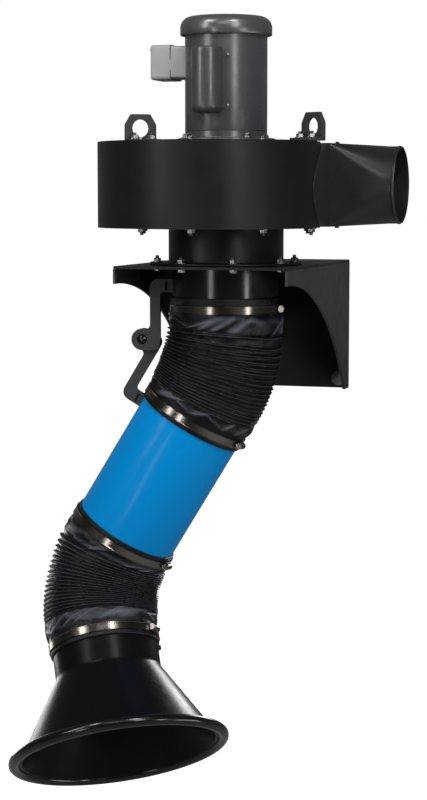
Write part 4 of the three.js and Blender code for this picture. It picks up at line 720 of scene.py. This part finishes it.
cheek_rings = []
for z in np.linspace(casing_low, casing_high, CHEEK_LEVELS):
    share = (z - casing_low) / (casing_high - casing_low)
    seam = math.radians(SEAM_SWING[0] + SEAM_SWING[1] * share + SEAM_SWING[2] * share ** 2)
    near, far = scroll_point(seam, CHEEK_LAP), Vector((OUTLET + 1, SCROLL_END - THROAT - 1))
    bent = (near + far) / 2 + Vector((CHEEK_BULGE, 0))
    ring = [near * (1 - t) ** 2 + bent * (2 * t * (1 - t)) + far * t * t for t in np.linspace(0, 1, 14)]
    ring += [far + Vector((0, 2))] + [scroll_point(a, -1) for a in np.linspace(TONGUE, seam, 14)]
    cheek_rings.append([(v.x, v.y, z) for v in ring])
# The cheek takes the black painted lighter: painted light.
fit(skin("outlet_cheek", loft(cheek_rings), FAN, crease=40, bevel=0.9), "bracket", "black_paint", BLACK_PAINTED_LIGHTER)
SCREW_PLACE = (OUTLET + 8, middle_y - 50)
transition_screws = [FAN @ shift(*SCREW_PLACE, middle_z + BLOWER_HEIGHT / 2 - 1.4),
                     FAN @ shift(*SCREW_PLACE, middle_z - BLOWER_HEIGHT / 2 + 1.4) @ turn(180, "X")]
fit(skin("outlet_screws", copied(hex_bolt(4.5, 2.8, 1.0), transition_screws)), "bracket", "black_paint", BLACK)

# %% [markdown]
# Two lifting lugs stand on the blower: an upright plate with clipped corners and a round eye, welded to a foot
# that is bolted down. They are flat plates, turned a little toward the corners of the casing.

# %% Lifting lugs
LUG_HALF, LUG_HEIGHT, LUG_THICK, LUG_EYE = 31, 54, 8, 17
LUG_PLACES = {"left": (-175, 36), "right": (175, -36)}
lug_outline = [(-LUG_HALF, 0), (LUG_HALF, 0), (LUG_HALF, 34), (19, LUG_HEIGHT), (-19, LUG_HEIGHT), (-LUG_HALF, 34)]
lug_plate = plate(rounded(lug_outline, 2), [circle(LUG_EYE, 48, 0, LUG_HEIGHT - LUG_EYE - 10)[::-1]], 0, LUG_THICK)
lug_foot = plate(rounded([(-LUG_HALF, -38), (LUG_HALF, -38), (LUG_HALF, -0.5), (-LUG_HALF, -0.5)], 3), [], 0, 6)
lug_shell = joined(copied(lug_plate, [FACING_WALL]), lug_foot)
lug_nuts = []
for side, (x, degrees) in LUG_PLACES.items():
    place = MOTOR @ shift(x, 0, 0) @ turn(degrees, "Z")
    fit(skin(f"lifting_eye_{side}", lug_shell, place, bevel=0.9), "bracket", "link_paint", LINK_GREY,
        f"lifting_lug_{side}")
    lug_nuts += [place @ shift(dx, -22, 6) for dx in (-17, 17)]
fit(skin("lug_foot_nuts", copied(stud_nut(8, 6.5, 4), lug_nuts)), "bracket", "zinc_steel", ZINC)

# %% [markdown]
# The motor is a rolled steel frame between two end bells, with a pressed fan cover on top. The cover overhangs
# the frame and leaves a dark gap under its skirt, and its crown is pierced by slots that draw cooling air.

# %% Motor frame and flange
MOTOR_RADIUS, FRAME_LOW, FRAME_HIGH, RIM_THICK = 78.5, 19.3, 199.3, 6
frame_profile = [(71.5, FRAME_LOW), (MOTOR_RADIUS, FRAME_LOW, 1.2), (MOTOR_RADIUS, FRAME_HIGH, 1.2), (71.5, FRAME_HIGH)]
fit(skin("motor_barrel", lathe(rounded(frame_profile, 0.5), 128), MOTOR), "bracket", "grey_enamel", GREY, "motor_frame")
flange_profile = [(14, 0), (94, 0, 1.5), (94, RIM_THICK, 2), (MOTOR_RADIUS, RIM_THICK, 3), (MOTOR_RADIUS, 19, 0.5), (34.3, 19),
                  (34.3, 23), (26.3, 23), (26.3, 7.7), (14, 7.7)]
fit(skin("motor_foot_flange", lathe(rounded(flange_profile, 0.5), 128), MOTOR), "bracket", "grey_enamel", GREY,
    "motor_flange")
motor_nuts = [MOTOR @ shift(85.5 * math.cos(a), 85.5 * math.sin(a), RIM_THICK) for a in (math.radians(45 + 90 * k) for k in range(4))]
fit(skin("motor_flange_nuts", copied(hex_bolt(7, 6), motor_nuts)), "bracket", "zinc_steel", ZINC)

# %% Fan cover
COVER_RADIUS, COVER_LOW, COVER_TOP, COVER_BEND, SLOT_END = 87.5, 199.6, 234.6, 21, 59
crown_edge = COVER_RADIUS - COVER_BEND - 1
bend_x, bend_z = COVER_RADIUS - COVER_BEND, COVER_TOP - COVER_BEND
cover_profile = [(COVER_RADIUS - 2, COVER_LOW), (COVER_RADIUS - 0.6, COVER_LOW), (COVER_RADIUS, COVER_LOW + 0.8)]
cover_profile += circle(COVER_BEND, 16, bend_x, bend_z, 0, math.pi / 2) + [(bend_x, COVER_TOP), (crown_edge, COVER_TOP)]
cover_profile += [(crown_edge, COVER_TOP - 2)] + circle(COVER_BEND - 2, 16, bend_x, bend_z, math.pi / 2, -math.pi / 2)
slots = []
for k in range(12):
    spoke = turn(30 * k, "Z")
    ends = circle(2.5, 8, SLOT_END, 0, -math.pi / 2, math.pi) + [(SLOT_END, 2.5)] + circle(2.5, 8, 26.5, 0, math.pi / 2, math.pi)
    slots.append([tuple((spoke @ Vector((x, y, 0)))[:2]) for x, y in ends + [(26.5, -2.5)]][::-1])
crown = plate(circle(crown_edge, 128), slots + [circle(12.5, 32)[::-1]], COVER_TOP - 2, COVER_TOP)
fit(skin("motor_fan_cover", joined(lathe(cover_profile, 128), crown), MOTOR), "bracket", "grey_enamel",
    COVER_GREY, "fan_cover")
COVER_SCREWS = [math.radians(-94 + 90 * k) for k in range(4)]
cover_screws = [MOTOR @ turn(math.degrees(a), "Z") @ shift(COVER_RADIUS, 0, COVER_LOW + 4.6) @ turn(90, "Y") for a in COVER_SCREWS]
fit(skin("fan_cover_screws", copied(pan_screw(4.2, 3), cover_screws)), "bracket", "grey_enamel", GREY)

# %% [markdown]
# The start capacitor hides under a half-round pressed pod. Each level of the pod is an arc that ends on the
# motor's skin, and the arcs shrink towards both ends to round them. Two small tabs with screws hold it.

# %% Capacitor pod
POD_RADIUS, POD_LENGTH, POD_CENTRE, POD_BASE, POD_TURN, POD_BENDS = 30, 122, 92, 51, -5.5, (13, 5)
POD = MOTOR @ turn(POD_TURN, "Z") @ shift(0, -POD_CENTRE, POD_BASE)
pod_levels = [(POD_RADIUS - bend + bend * math.sin(t), bend - bend * math.cos(t))
              for bend in POD_BENDS[:1] for t in [math.pi / 2 * k / 8 for k in range(9)]]
pod_levels += [(POD_RADIUS - bend + bend * math.cos(t), POD_LENGTH - bend + bend * math.sin(t))
               for bend in POD_BENDS[1:] for t in [math.pi / 2 * k / 8 for k in range(9)]]
pod_rings = []
for radius, z in pod_levels:
    reach = (POD_CENTRE ** 2 + radius ** 2 - (MOTOR_RADIUS + 0.3) ** 2) / (2 * POD_CENTRE * radius)
    stop = math.pi - math.acos(max(-1.0, min(1.0, reach)))
    pod_rings.append([(radius * math.sin(stop * s), -radius * math.cos(stop * s), z)
                      for s in np.linspace(-1, 1, 49)])
fit(skin("capacitor_pod", loft(pod_rings), POD, crease=50), "bracket", "grey_enamel", GREY, "capacitor_cover")
pod_tabs, pod_screws = [], []
for level in (14, POD_LENGTH - 14):
    for side in (-1, 1):
        tab_place = MOTOR @ turn(POD_TURN + side * 23.5, "Z") @ shift(0, -MOTOR_RADIUS, POD_BASE + level) @ turn(90, "X")
        pod_tabs.append(tab_place)
        pod_screws.append(tab_place @ shift(side * 1.5, 0, 2))
tab_shell = plate(rounded([(-6, -6), (6, -6), (6, 6), (-6, 6)], 3), [], -0.8, 2)
fit(skin("pod_tabs", copied(tab_shell, pod_tabs), bevel=0.4), "bracket", "grey_enamel", GREY)
fit(skin("pod_screws", copied(pan_screw(3.2, 2.2), pod_screws)), "bracket", "zinc_steel", ZINC)

# %% [markdown]
# The terminal box is a drawn steel cover over a shallow base on the motor's side. A drawn box has round corners
# and a soft edge round its face, so the loft narrows in a few steps before the face closes it. The cable hole in
# its rear side is drilled with a boolean, which keeps a clean round edge.

# %% Terminal box
BOX_WIDTH, BOX_HEIGHT, BASE_FACE, COVER_DEPTH = 74, 66, 101, 39
BOX = MOTOR @ shift(0, 0, 117 + BOX_HEIGHT / 2) @ Matrix(((0, 0, -1, 0), (-1, 0, 0, 0), (0, 1, 0, 0), (0, 0, 0, 1)))


def box_ring(width, height, corner, z):
    x, y = width / 2, height / 2
    return [(px, py, z) for px, py in rounded([(-x, -y), (x, -y), (x, y), (-x, y)], corner, 6)]


def drill(piece, cutter):
    """Cuts one piece by another, once, and removes the cutter."""
    modifier = piece.modifiers.new("drill", "BOOLEAN")
    modifier.operation, modifier.object = "DIFFERENCE", cutter
    graph = bpy.context.evaluated_depsgraph_get()
    cut = bpy.data.meshes.new_from_object(piece.evaluated_get(graph))
    piece.modifiers.remove(modifier)
    piece.data = cut
    bpy.data.objects.remove(cutter)
    cut.shade_smooth()
    cut.set_sharp_from_angle(angle=math.radians(38))


face = BASE_FACE + COVER_DEPTH + 0.3
rings = [box_ring(0.4, 0.4, 0.1, face), box_ring(BOX_WIDTH - 6, BOX_HEIGHT - 6, 5.5, face)]
for inset, sink in ((1.4, 0.5), (0.5, 1.4), (0.0, 3.0)):
    rings.append(box_ring(BOX_WIDTH - 2 * inset, BOX_HEIGHT - 2 * inset, 7 - inset * 0.5, face - sink))
rings += [box_ring(BOX_WIDTH, BOX_HEIGHT, 7, BASE_FACE + 0.3), box_ring(BOX_WIDTH - 4, BOX_HEIGHT - 4, 5.5, BASE_FACE + 0.3),
          box_ring(BOX_WIDTH - 4, BOX_HEIGHT - 4, 5.5, face - 2), box_ring(0.4, 0.4, 0.1, face - 2)]
cover = skin("terminal_box_cover", loft(rings), BOX)
hole_place = BOX @ shift(0, 0, BASE_FACE + COVER_DEPTH / 2) @ turn(90, "Y")
drill(cover, skin("cable_drill", lathe([(0, -10), (11, -10), (11, 60), (0, 60)], 40), hole_place @ turn(180, "Y")))
fit(cover, "bracket", "grey_enamel", BOX_GREY, "conduit_box_cover")
base_rings = [box_ring(BOX_WIDTH - 5, BOX_HEIGHT - 5, 6, 64), box_ring(BOX_WIDTH - 5, BOX_HEIGHT - 5, 6, BASE_FACE - 0.6),
              box_ring(BOX_WIDTH - 6.2, BOX_HEIGHT - 6.2, 5.4, BASE_FACE)]
fit(skin("terminal_box_base", loft(base_rings), BOX), "bracket", "grey_enamel", BOX_GREY, "conduit_box")
box_screws = [BOX @ shift(x, y, BASE_FACE + COVER_DEPTH + 0.3) for x, y in ((-28, -24), (28, 24))]
fit(skin("terminal_box_screws", copied(pan_screw(3.6, 2.6), box_screws)), "bracket", "zinc_steel", ZINC)

# %% [markdown]
# Beside the upper hose two like plates are bolted flat together and pinched by a friction washer: one is welded
# to the swivel tube, the other to the arm tube. They carry the arm, so the hose carries no load. Each plate is
# an outline with a round ear, a straight bar and a tab whose end meets its tube.

# %% Friction links
LINK_THICK, EAR, EAR_FILLET, BAR_NEAR, BAR_FAR, TAB_LOW, TAB_HIGH, LINK_FACE = 10, 21, 9, 16, 36, 92, 118, 1.3
PIVOT_GAP = PIVOT_REACH - DUCT_RADIUS
neck_x, neck_z = BAR_NEAR - EAR_FILLET, math.sqrt((EAR + EAR_FILLET) ** 2 - (BAR_NEAR - EAR_FILLET) ** 2)
ear_turn = math.atan2(neck_z, neck_x)
link_outline = [(PIVOT_GAP + 0.4, TAB_LOW), (PIVOT_GAP + 0.4, TAB_HIGH)]
link_outline += rounded([(PIVOT_GAP, TAB_HIGH, 0), (BAR_NEAR, TAB_HIGH, 20), (BAR_NEAR, neck_z, 0)], 0, 10)[1:-1]
link_outline += circle(EAR_FILLET, 10, neck_x, neck_z, 0, ear_turn - math.pi)
link_outline += circle(EAR, 40, 0, 0, ear_turn, 1.5 * math.pi - ear_turn)
link_outline += rounded([(0, -EAR, 0), (BAR_FAR, -EAR, 24), (BAR_FAR, TAB_LOW, 8), (PIVOT_GAP, TAB_LOW, 0)], 0, 10)[:-1]
slot_x, slot_y = (BAR_FAR + PIVOT_GAP) / 2, (TAB_LOW + TAB_HIGH) / 2
link_slot = circle(2.5, 8, slot_x, slot_y + 6.5, 0, math.pi) + [(slot_x - 2.5, slot_y + 6.5)]
link_slot += circle(2.5, 8, slot_x, slot_y - 6.5, math.pi, math.pi) + [(slot_x + 2.5, slot_y - 6.5)]
LINK_STAND = FACING_WALL @ shift(0, 0, LINK_FACE)
link_points, link_faces = plate(link_outline, [circle(6.5, 32)[::-1]], 0, LINK_THICK, [link_slot], 3)
LOWER_SHELL = [(x, y, LINK_THICK - z) for x, y, z in link_points], link_faces
upper_bore = circle(10, 32)[::-1]
fit(skin("upper_friction_link", plate(link_outline, [upper_bore], 0, LINK_THICK, [link_slot], 3), PIVOT @ LINK_STAND, bevel=1.0),
    "swivel", "link_paint", LINK_GREY, "upper_link")
fit(skin("lower_friction_link", LOWER_SHELL,
         ARM_PIVOT @ turn(180, "X") @ LINK_STAND, bevel=1.0), "arm", "link_paint", LINK_GREY, "lower_link")

# %% Pivot bolt and nut
link_outer = LINK_FACE + LINK_THICK
head_face = link_outer - 0.4
bolt_head = rounded([(0, 4.6, 0), (3.2, 4.6, 2.6), (7.4, 2.6, 2.2), (9.5, 0.4, 0.4), (9.5, -0.4, 0), (6, -0.4, 0),
                     (6, -26, 0.5), (0, -26, 0)], 0.2, 6)
cup_rings = lathe(bolt_head, 36)
fit(skin("pivot_cap_bolt", cup_rings, PIVOT @ turn(90, "X") @ shift(0, 0, head_face - 4.6)), "swivel", "plain_steel", GLOSS_BLACK,
    "pivot_bolt")
fit(skin("pivot_flange_nut", joined(lathe(rounded([(0, 0, 0), (14, 0, 0.5), (14, 1.6, 0.6), (9, 3, 0.5), (0, 3, 0)], 0.3), 32),
                                    hex_body(10, 2, 10)), PIVOT @ turn(-90, "X") @ shift(0, 0, link_outer + 0.3)),
    "swivel", "zinc_steel", ZINC, "pivot_nut")

# %% [markdown]
# The tube between the hoses is rolled from sheet, welded along a seam and painted blue. Its ends run on under
# both hose cuffs. The hood's neck takes the lower hose, and its cone opens to a flat flange whose edge is turned
# back, which stiffens the rim and gives it a round lip.

# %% Arm tube and hood
tube_profile = [(TUBE_BORE, -372), (DUCT_RADIUS, -372), (DUCT_RADIUS, -52), (TUBE_BORE, -52)]
fit(skin("blue_arm_duct", lathe(rounded(tube_profile, 0.7), 160), ARM), "arm", "blue_paint", BLUE, "arm_tube")
NECK_TOP, CONE_TOP, RIM, RIM_RADIUS, HOOD_WALL, BEAD = -113, -197, -358, 212, 2, 10.5
bead_r, bead_z = RIM_RADIUS - BEAD, RIM + BEAD
hood_profile = [(TUBE_BORE, NECK_TOP, 0.6), (TUBE_BORE, CONE_TOP, 14), (RIM_RADIUS - 2 * BEAD - 4.5, RIM + 8, 3),
                (bead_r - 6, bead_z - 2, 0), (bead_r - 6, bead_z + 2, 0), (RIM_RADIUS - 2 * BEAD - 2.0, RIM + 14.5, 1.5),
                (DUCT_RADIUS, CONE_TOP + 1, 16), (DUCT_RADIUS, NECK_TOP, 0.6)]
fit(skin("hood_cone", lathe(rounded(hood_profile, 0.6, 7), 192), HOOD), "hood", "black_paint", HOOD_BLACK, "hood_shell")
fit(skin("hood_rolled_rim", lathe(circle(BEAD, 48, bead_r, bead_z), 192), HOOD), "hood", "black_paint", RIM_BLACK,
    "hood_shell")
NECK_SCREW_TURN, NECK_SCREW_LEVEL = 12, -159
neck_screw = HOOD @ turn(NECK_SCREW_TURN, "Z") @ shift(DUCT_RADIUS, 0, NECK_SCREW_LEVEL) @ turn(90, "Y")
fit(skin("hood_neck_screw", copied(hex_bolt(5, 4, 1.2), [neck_screw])), "hood", "black_paint", BLACK)

# %% [markdown]
# The hoses are one wire spiral covered with cloth. The centre line is straight at both clamps with an even bend
# between, and the cloth is drawn round it row by row: plain cuffs that crease under the clamps, and ribs whose
# crest follows the wire. The spiral is a phase that runs with both length and angle, so the rib is one unbroken
# winding. Ribs stand wider near the upper cuff, as the weight below pulls them apart. Creases come from noise.

# %% Hose surface
CUFF_RADIUS, CREST_RADIUS, RIB_DEPTH, LINER_RADIUS = 106.2, 112.0, (5.0, 8.8), 102.2
HOSE_AROUND, ROWS_PER_RIB, HEM_ROWS = 176, 11, 26
CLAMP_INSET, CLAMP_HALF = 16, 9


def bend_line(lead, radius, bend):
    """Point and heading along a straight lead, an even bend towards +X, and a straight end, heading down."""
    def at(s):
        arc = radius * bend
        a = min(max((s - lead) / arc, 0.0), 1.0) * bend
        place = Vector((radius * (1 - math.cos(a)), 0, -radius * math.sin(a) - min(s, lead)))
        ahead = Vector((math.sin(a), 0, -math.cos(a)))
        return place + ahead * max(0.0, s - lead - arc), ahead
    return at


def ease(x):
    x = min(max(x, 0.0), 1.0)
    return x * x * (3 - 2 * x)


def crease_noise(angle, s, seed, slope, across):
    """Sharp slanting folds: noise that changes slowly along a slope of the unrolled cloth and fast across it."""
    slant = angle - s / (103 * slope)
    reach = 103 * abs(slope) / math.hypot(1, slope) / across
    spot = Vector((math.cos(slant) * reach, math.sin(slant) * reach, s / (4.5 * across) + seed))
    return 1 - 2.4 * abs(noise.noise(spot)), noise.noise(spot * 0.45 + Vector((7.3, 1.9, seed)))


def hose_rows(length, cuffs, ribs):
    """Distances along the hose with fine rows over the ribs and coarser ones over the cuffs."""
    first, last = cuffs[0] - 8, length - cuffs[1] + 8
    return (list(np.linspace(0, first, HEM_ROWS, endpoint=False))
            + list(np.linspace(first, last, ribs * ROWS_PER_RIB, endpoint=False))
            + list(np.linspace(last, length, HEM_ROWS)))


def rib_count(x, ribs, spread):
    """How many ribs lie before share x of the ribbed length. A spread over 1 sets the first ones wider apart."""
    return ribs * x ** spread


def hose_radius(s, angle, length, cuffs, ribs, spread, seed, out_side, bulge):
    ribbed = min(max((s - cuffs[0]) / (length - cuffs[0] - cuffs[1]), 0.0), 1.0)
    inside = ease((s - cuffs[0] + 5) / 10) * ease((length - cuffs[1] - s + 5) / 10)
    ridge, swell = crease_noise(angle, s, seed, 0.55, 21)
    cross, _ = crease_noise(angle, s, seed + 21, -0.4, 24)
    fine, _ = crease_noise(angle, s, seed + 5, 0.8, 9)
    ridge = max(ridge, 0.8 * cross)
    wobble = 0.14 * noise.noise(Vector((math.cos(angle) * 1.7, math.sin(angle) * 1.7, s / 26 + seed)))
    phase = rib_count(ribbed, ribs, spread) - angle / (2 * math.pi) + wobble
    x = phase - math.floor(phase)
    pitch = min(1 / (spread * max(ribbed, 0.02) ** (spread - 1)), 2.4)
    tooth = (1 - abs(2 * x - 1)) ** (2.6 * max(pitch, 0.7))
    depth = min(max(6.6 * pitch, RIB_DEPTH[0]), RIB_DEPTH[1])
    slump = 0.6 * fine * pitch + 3.4 * (ridge - 0.35) * max(0.0, pitch - 1.0)
    rib = CREST_RADIUS - depth * (1 - tooth) + 0.7 * swell + slump * (1 - tooth)
    grip = max(ease(1 - abs(s - CLAMP_INSET - 6 * (cuffs[0] > 60)) / (CLAMP_HALF + 5)),
               ease(1 - abs(length - s - CLAMP_INSET) / (CLAMP_HALF + 5)))
    free = 1 - grip
    from_end = min(s, length - s)
    slack = ease((from_end - 24) / 16)
    neck = 1.8 * ease((s - cuffs[0] + 24) / 14) * ease((cuffs[0] - s + 10) / 10)
    # crest marks the painted highlights: rib crests above zero, cuff fold ridges below zero.
    crest = tooth * inside - (1 - inside) * slack * max(ridge, 0.0) ** 2
    cuff = CUFF_RADIUS - 0.5 + free * (0.4 + slack * (1.2 + 7.0 * (ridge - 0.5)) + 1.4 * swell + (0.2 + 0.8 * slack) * fine)
    radius = (cuff - neck) * (1 - inside) + rib * inside
    middle = math.sin(math.pi * min(max(s / length, 0), 1)) ** 2
    radius += bulge * middle * max(0.0, math.cos(angle - out_side)) ** 1.5
    return max(radius, LINER_RADIUS + 0.8), crest


def hose(name, line, span, length, cuffs, ribs, spread, seed, out_side, bulge, place):
    """Closed cloth skin over one stretch of a hose: the creased outside and a plain liner inside."""
    start, stop = span
    rows = sorted({start, stop, *[s for s in hose_rows(length, cuffs, ribs) if start < s < stop]})
    points, crests, faces, coords = [], [], [], []
    for s in rows:
        centre, ahead = line(s)
        side = Vector((-ahead.z, 0, ahead.x))
        for k in range(HOSE_AROUND):
            a = 2 * math.pi * k / HOSE_AROUND
            radius, crest = hose_radius(s, a, length, cuffs, ribs, spread, seed, out_side, bulge)
            points.append(centre + side * (radius * math.cos(a)) + Vector((0, -radius * math.sin(a), 0)))
            crests.append(crest)
    liner = list(np.linspace(stop, start, ribs + 6))
    for s in liner:
        centre, ahead = line(s)
        side = Vector((-ahead.z, 0, ahead.x))
        for k in range(HOSE_AROUND):
            a = 2 * math.pi * k / HOSE_AROUND
            points.append(centre + side * (LINER_RADIUS * math.cos(a)) + Vector((0, -LINER_RADIUS * math.sin(a), 0)))
            crests.append(0.0)
    levels = rows + liner
    for row in range(len(levels)):
        here, there = row * HOSE_AROUND, (row + 1) % len(levels) * HOSE_AROUND
        for k in range(HOSE_AROUND):
            after = (k + 1) % HOSE_AROUND
            faces.append((here + k, here + after, there + after, there + k))
            u0, u1 = k / HOSE_AROUND, (k + 1) / HOSE_AROUND
            v0, v1 = levels[row] * MM, levels[(row + 1) % len(levels)] * MM
            coords += [(u0 * 0.68, v0), (u1 * 0.68, v0), (u1 * 0.68, v1), (u0 * 0.68, v1)]
    grid = np.array([tuple(place @ p) for p in points]) * MM
    mesh = bpy.data.meshes.new(name)
    mesh.from_pydata(grid.tolist(), [], faces)
    unwrap = mesh.uv_layers.new(name="lengths")
    unwrap.data.foreach_set("uv", np.array(coords, np.float32).ravel())
    mesh.attributes.new("crest", "FLOAT", "POINT").data.foreach_set("value", np.array(crests, np.float32))
    mesh.shade_smooth()
    piece = bpy.data.objects.new(name, mesh)
    bpy.context.scene.collection.objects.link(piece)
    return piece


# %% [markdown]
# The upper hose crosses the shoulder joint, so it bends between the swivel and the arm. The blend runs between
# two points on the chord of the bend, kept far enough from both clamps that every point under a clamp stays put.

# %% Upper hose
UPPER_TOP, UPPER_LEAD, UPPER_BEND_RADIUS = 62, 23, 387.6
UPPER_LENGTH, UPPER_CUFFS, UPPER_RIBS = 258.7, (62, 50), 18
UPPER = SWIVEL @ shift(0, 0, -UPPER_TOP) @ turn(180, "Z")
upper_line = bend_line(UPPER_LEAD, UPPER_BEND_RADIUS, math.radians(ARM_LEAN))
upper_hose = hose("upper_cloth_hose", upper_line, (0.0, UPPER_LENGTH), UPPER_LENGTH, UPPER_CUFFS, UPPER_RIBS, 1.45, 3.0,
                  math.pi, 6.0, UPPER)
chord = (upper_line(UPPER_LENGTH - UPPER_LEAD)[0] - upper_line(UPPER_LEAD)[0]).normalized()
middle = upper_line(UPPER_LENGTH / 2)[0]
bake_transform(upper_hose, "swivel", "arm", start=UPPER @ (middle - chord * 70) * MM, end=UPPER @ (middle + chord * 70) * MM)
fit(upper_hose, "swivel and arm", "hose_fabric", UPPER_CLOTH, "upper_hose")

# %% [markdown]
# The lower hose crosses two joints at one point, and a piece can bend across one only. It is therefore two
# stretches of one surface that share a ring: the first bends between the arm and the gimbal, the second between
# the gimbal and the hood. The shared ring belongs wholly to the gimbal in both, so they never part.

# %% Lower hose
LOWER_START, HOSE_ON_HOOD, WRIST_REACH = 338, 147, 464
LOWER_CUFFS, LOWER_RIBS = (54, 62), 19
hood_down = (ARM.to_3x3().inverted() @ HOOD.to_3x3()) @ Vector((0, 0, -1))
lower_bend = math.acos(-hood_down.z)
tangent_in, tangent_out = WRIST_REACH - LOWER_START, HOSE_ON_HOOD
tangent = min(tangent_in, tangent_out) - 15 - CLAMP_INSET / 2
lower_lead, lower_radius = tangent_in - tangent, tangent / math.tan(lower_bend / 2)
LOWER_LENGTH = lower_lead + lower_radius * lower_bend + tangent_out - tangent
LOWER = ARM @ shift(0, 0, -LOWER_START) @ turn(math.degrees(math.atan2(hood_down.y, hood_down.x)), "Z")
lower_line = bend_line(lower_lead, lower_radius, lower_bend)
LOWER_SPLIT = LOWER_LENGTH * 0.49
split_place, split_ahead = lower_line(LOWER_SPLIT)
settings = (LOWER_LENGTH, LOWER_CUFFS, LOWER_RIBS, 1.12, 11.0, math.pi, 6.0, LOWER)
first_stretch = hose("lower_cloth_hose_arm", lower_line, (0.0, LOWER_SPLIT), *settings)
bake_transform(first_stretch, "arm", "gimbal", start=LOWER @ (split_place - split_ahead * 52) * MM, end=LOWER @ split_place * MM)
fit(first_stretch, "arm and gimbal", "hose_fabric", LOWER_CLOTH, "lower_hose")
second_stretch = hose("lower_cloth_hose_hood", lower_line, (LOWER_SPLIT, LOWER_LENGTH), *settings)
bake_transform(second_stretch, "gimbal", "hood", start=LOWER @ split_place * MM, end=LOWER @ (split_place + split_ahead * 52) * MM)
fit(second_stretch, "gimbal and hood", "hose_fabric", LOWER_CLOTH, "lower_hose")
print("hose lengths:", round(UPPER_LENGTH, 1), round(LOWER_LENGTH, 1), "mm")

# %% [markdown]
# Worm-drive clamps hold the hoses. The band is a thin stainless strip with rolled edges, and near its screw it
# is pierced by the slots that the worm bites into. The strip is drawn column by column round the duct, and the
# columns inside a slot are sunk.

# %% Clamp bands
BAND_INNER, BAND_OUTER, BAND_HALF = 107.4, 108.6, 7.5
SLOT_HALF, SLOT_SINK, SLOTS, SLOT_PITCH = 4.2, 0.9, 34, 2.0


def band_section(angle, sunk):
    base = BAND_OUTER - (SLOT_SINK if sunk else 0)
    loop = [(BAND_INNER, -BAND_HALF), (BAND_OUTER + 0.5, -BAND_HALF), (BAND_OUTER + 0.5, -BAND_HALF + 1.0),
            (BAND_OUTER, -BAND_HALF + 1.6), (BAND_OUTER, -SLOT_HALF), (base, -SLOT_HALF), (base, SLOT_HALF),
            (BAND_OUTER, SLOT_HALF), (BAND_OUTER, BAND_HALF - 1.6), (BAND_OUTER + 0.5, BAND_HALF - 1.0),
            (BAND_OUTER + 0.5, BAND_HALF), (BAND_INNER, BAND_HALF)]
    return [(r * math.cos(angle), r * math.sin(angle), z) for r, z in loop]


def clamp_band():
    columns = []
    for k in range(SLOTS):
        at = 12 + k * SLOT_PITCH
        columns += [(at, False), (at + 0.08, True), (at + SLOT_PITCH * 0.45, True), (at + SLOT_PITCH * 0.45 + 0.08, False)]
    columns += [(a, False) for a in np.linspace(12 + SLOTS * SLOT_PITCH, 372, 120, endpoint=False)]
    return loft([band_section(math.radians(a), sunk) for a, sunk in columns], wrap=True)


# %% Clamp screws
def clamp_screw():
    """Arched housing over a worm screw with a hex head, lying along the band at +X."""
    arch = [(-6.5, 0), (-6.5, 3), *[(-6.5 * math.cos(t), 3 + 6.5 * math.sin(t)) for t in np.linspace(0.15, math.pi - 0.15, 15)],
            (6.5, 3), (6.5, 0), (5.2, 0), (5.2, 3),
            *[(5.2 * math.cos(t), 3 + 5.2 * math.sin(t)) for t in np.linspace(0.15, math.pi - 0.15, 15)], (-5.2, 3), (-5.2, 0)]
    upright = Matrix(((0, 1, 0, 0), (0, 0, 1, 0), (1, 0, 0, 0), (0, 0, 0, 1)))
    housing = copied(plate(arch, [], -8, 10), [upright])
    thread = [(0, -11)]
    for k in range(9):
        thread += [(4.7, -11 + k * 2.3), (3.8, -11 + k * 2.3 + 1.1)]
    thread += [(4.2, 11.5), (0, 11.5)]
    along = shift(4.6, 0, 0) @ turn(-90, "X")
    worm = copied(lathe(thread, 24), [along])
    head = copied(joined(lathe(rounded([(0, -12.5, 0), (5.6, -12.5), (5.6, -11), (0, -11, 0)], 0.4), 24), hex_body(5.2, -12, -17, -0.8)), [along])
    saddle = copied(plate(rounded([(-6.9, -11), (6.9, -11), (6.9, 11), (-6.9, 11)], 2), [], 0, 0.9),
                    [Matrix(((0, 0, 1, 0), (0, 1, 0, 0), (1, 0, 0, 0), (0, 0, 0, 1)))])
    return copied(joined(housing, worm, head, saddle), [shift(BAND_OUTER + 0.3, 0, 0)])


CLAMPS = {
    "swivel_clamp": (SWIVEL, -84, -6, "swivel"),
    "arm_upper_clamp": (ARM, -72, -12, "arm"),
    "arm_lower_clamp": (ARM, -354, -12, "arm"),
    "hood_clamp": (HOOD, -131, -8, "hood"),
}
for name, (place, level, degrees, body) in CLAMPS.items():
    seat = place @ shift(0, 0, level) @ turn(degrees, "Z")
    fit(skin(f"{name}_strip", clamp_band(), seat, crease=30), body, "clamp_steel", CLAMP, f"{name}_band")
    fit(skin(f"{name}_worm", clamp_screw(), seat), body, "clamp_steel", CLAMP, f"{name}_screw")

# %% [markdown]
# The casing's plates are bolted to the frame inside, and a ring of bolt heads shows on both.

# %% Casing bolts
CASING_BOLTS = 173
CASING_TURNS = [math.radians(-5 + 45 * k) for k in range(8)]
top_heads = bolt_ring(CASING_TURNS, CASING_BOLTS, BLOWER_FLOOR + BLOWER_HEIGHT, FAN)
bottom_heads = [m @ turn(180, "X") for m in bolt_ring(CASING_TURNS, CASING_BOLTS, BLOWER_FLOOR, FAN)]
fit(skin("casing_top_bolts", copied(hex_bolt(5.5, 4.5), top_heads)), "bracket", "zinc_steel", ZINC)
fit(skin("casing_bottom_nuts", copied(stud_nut(7.5, 6.5, 5), bottom_heads)), "bracket", "zinc_steel", ZINC)
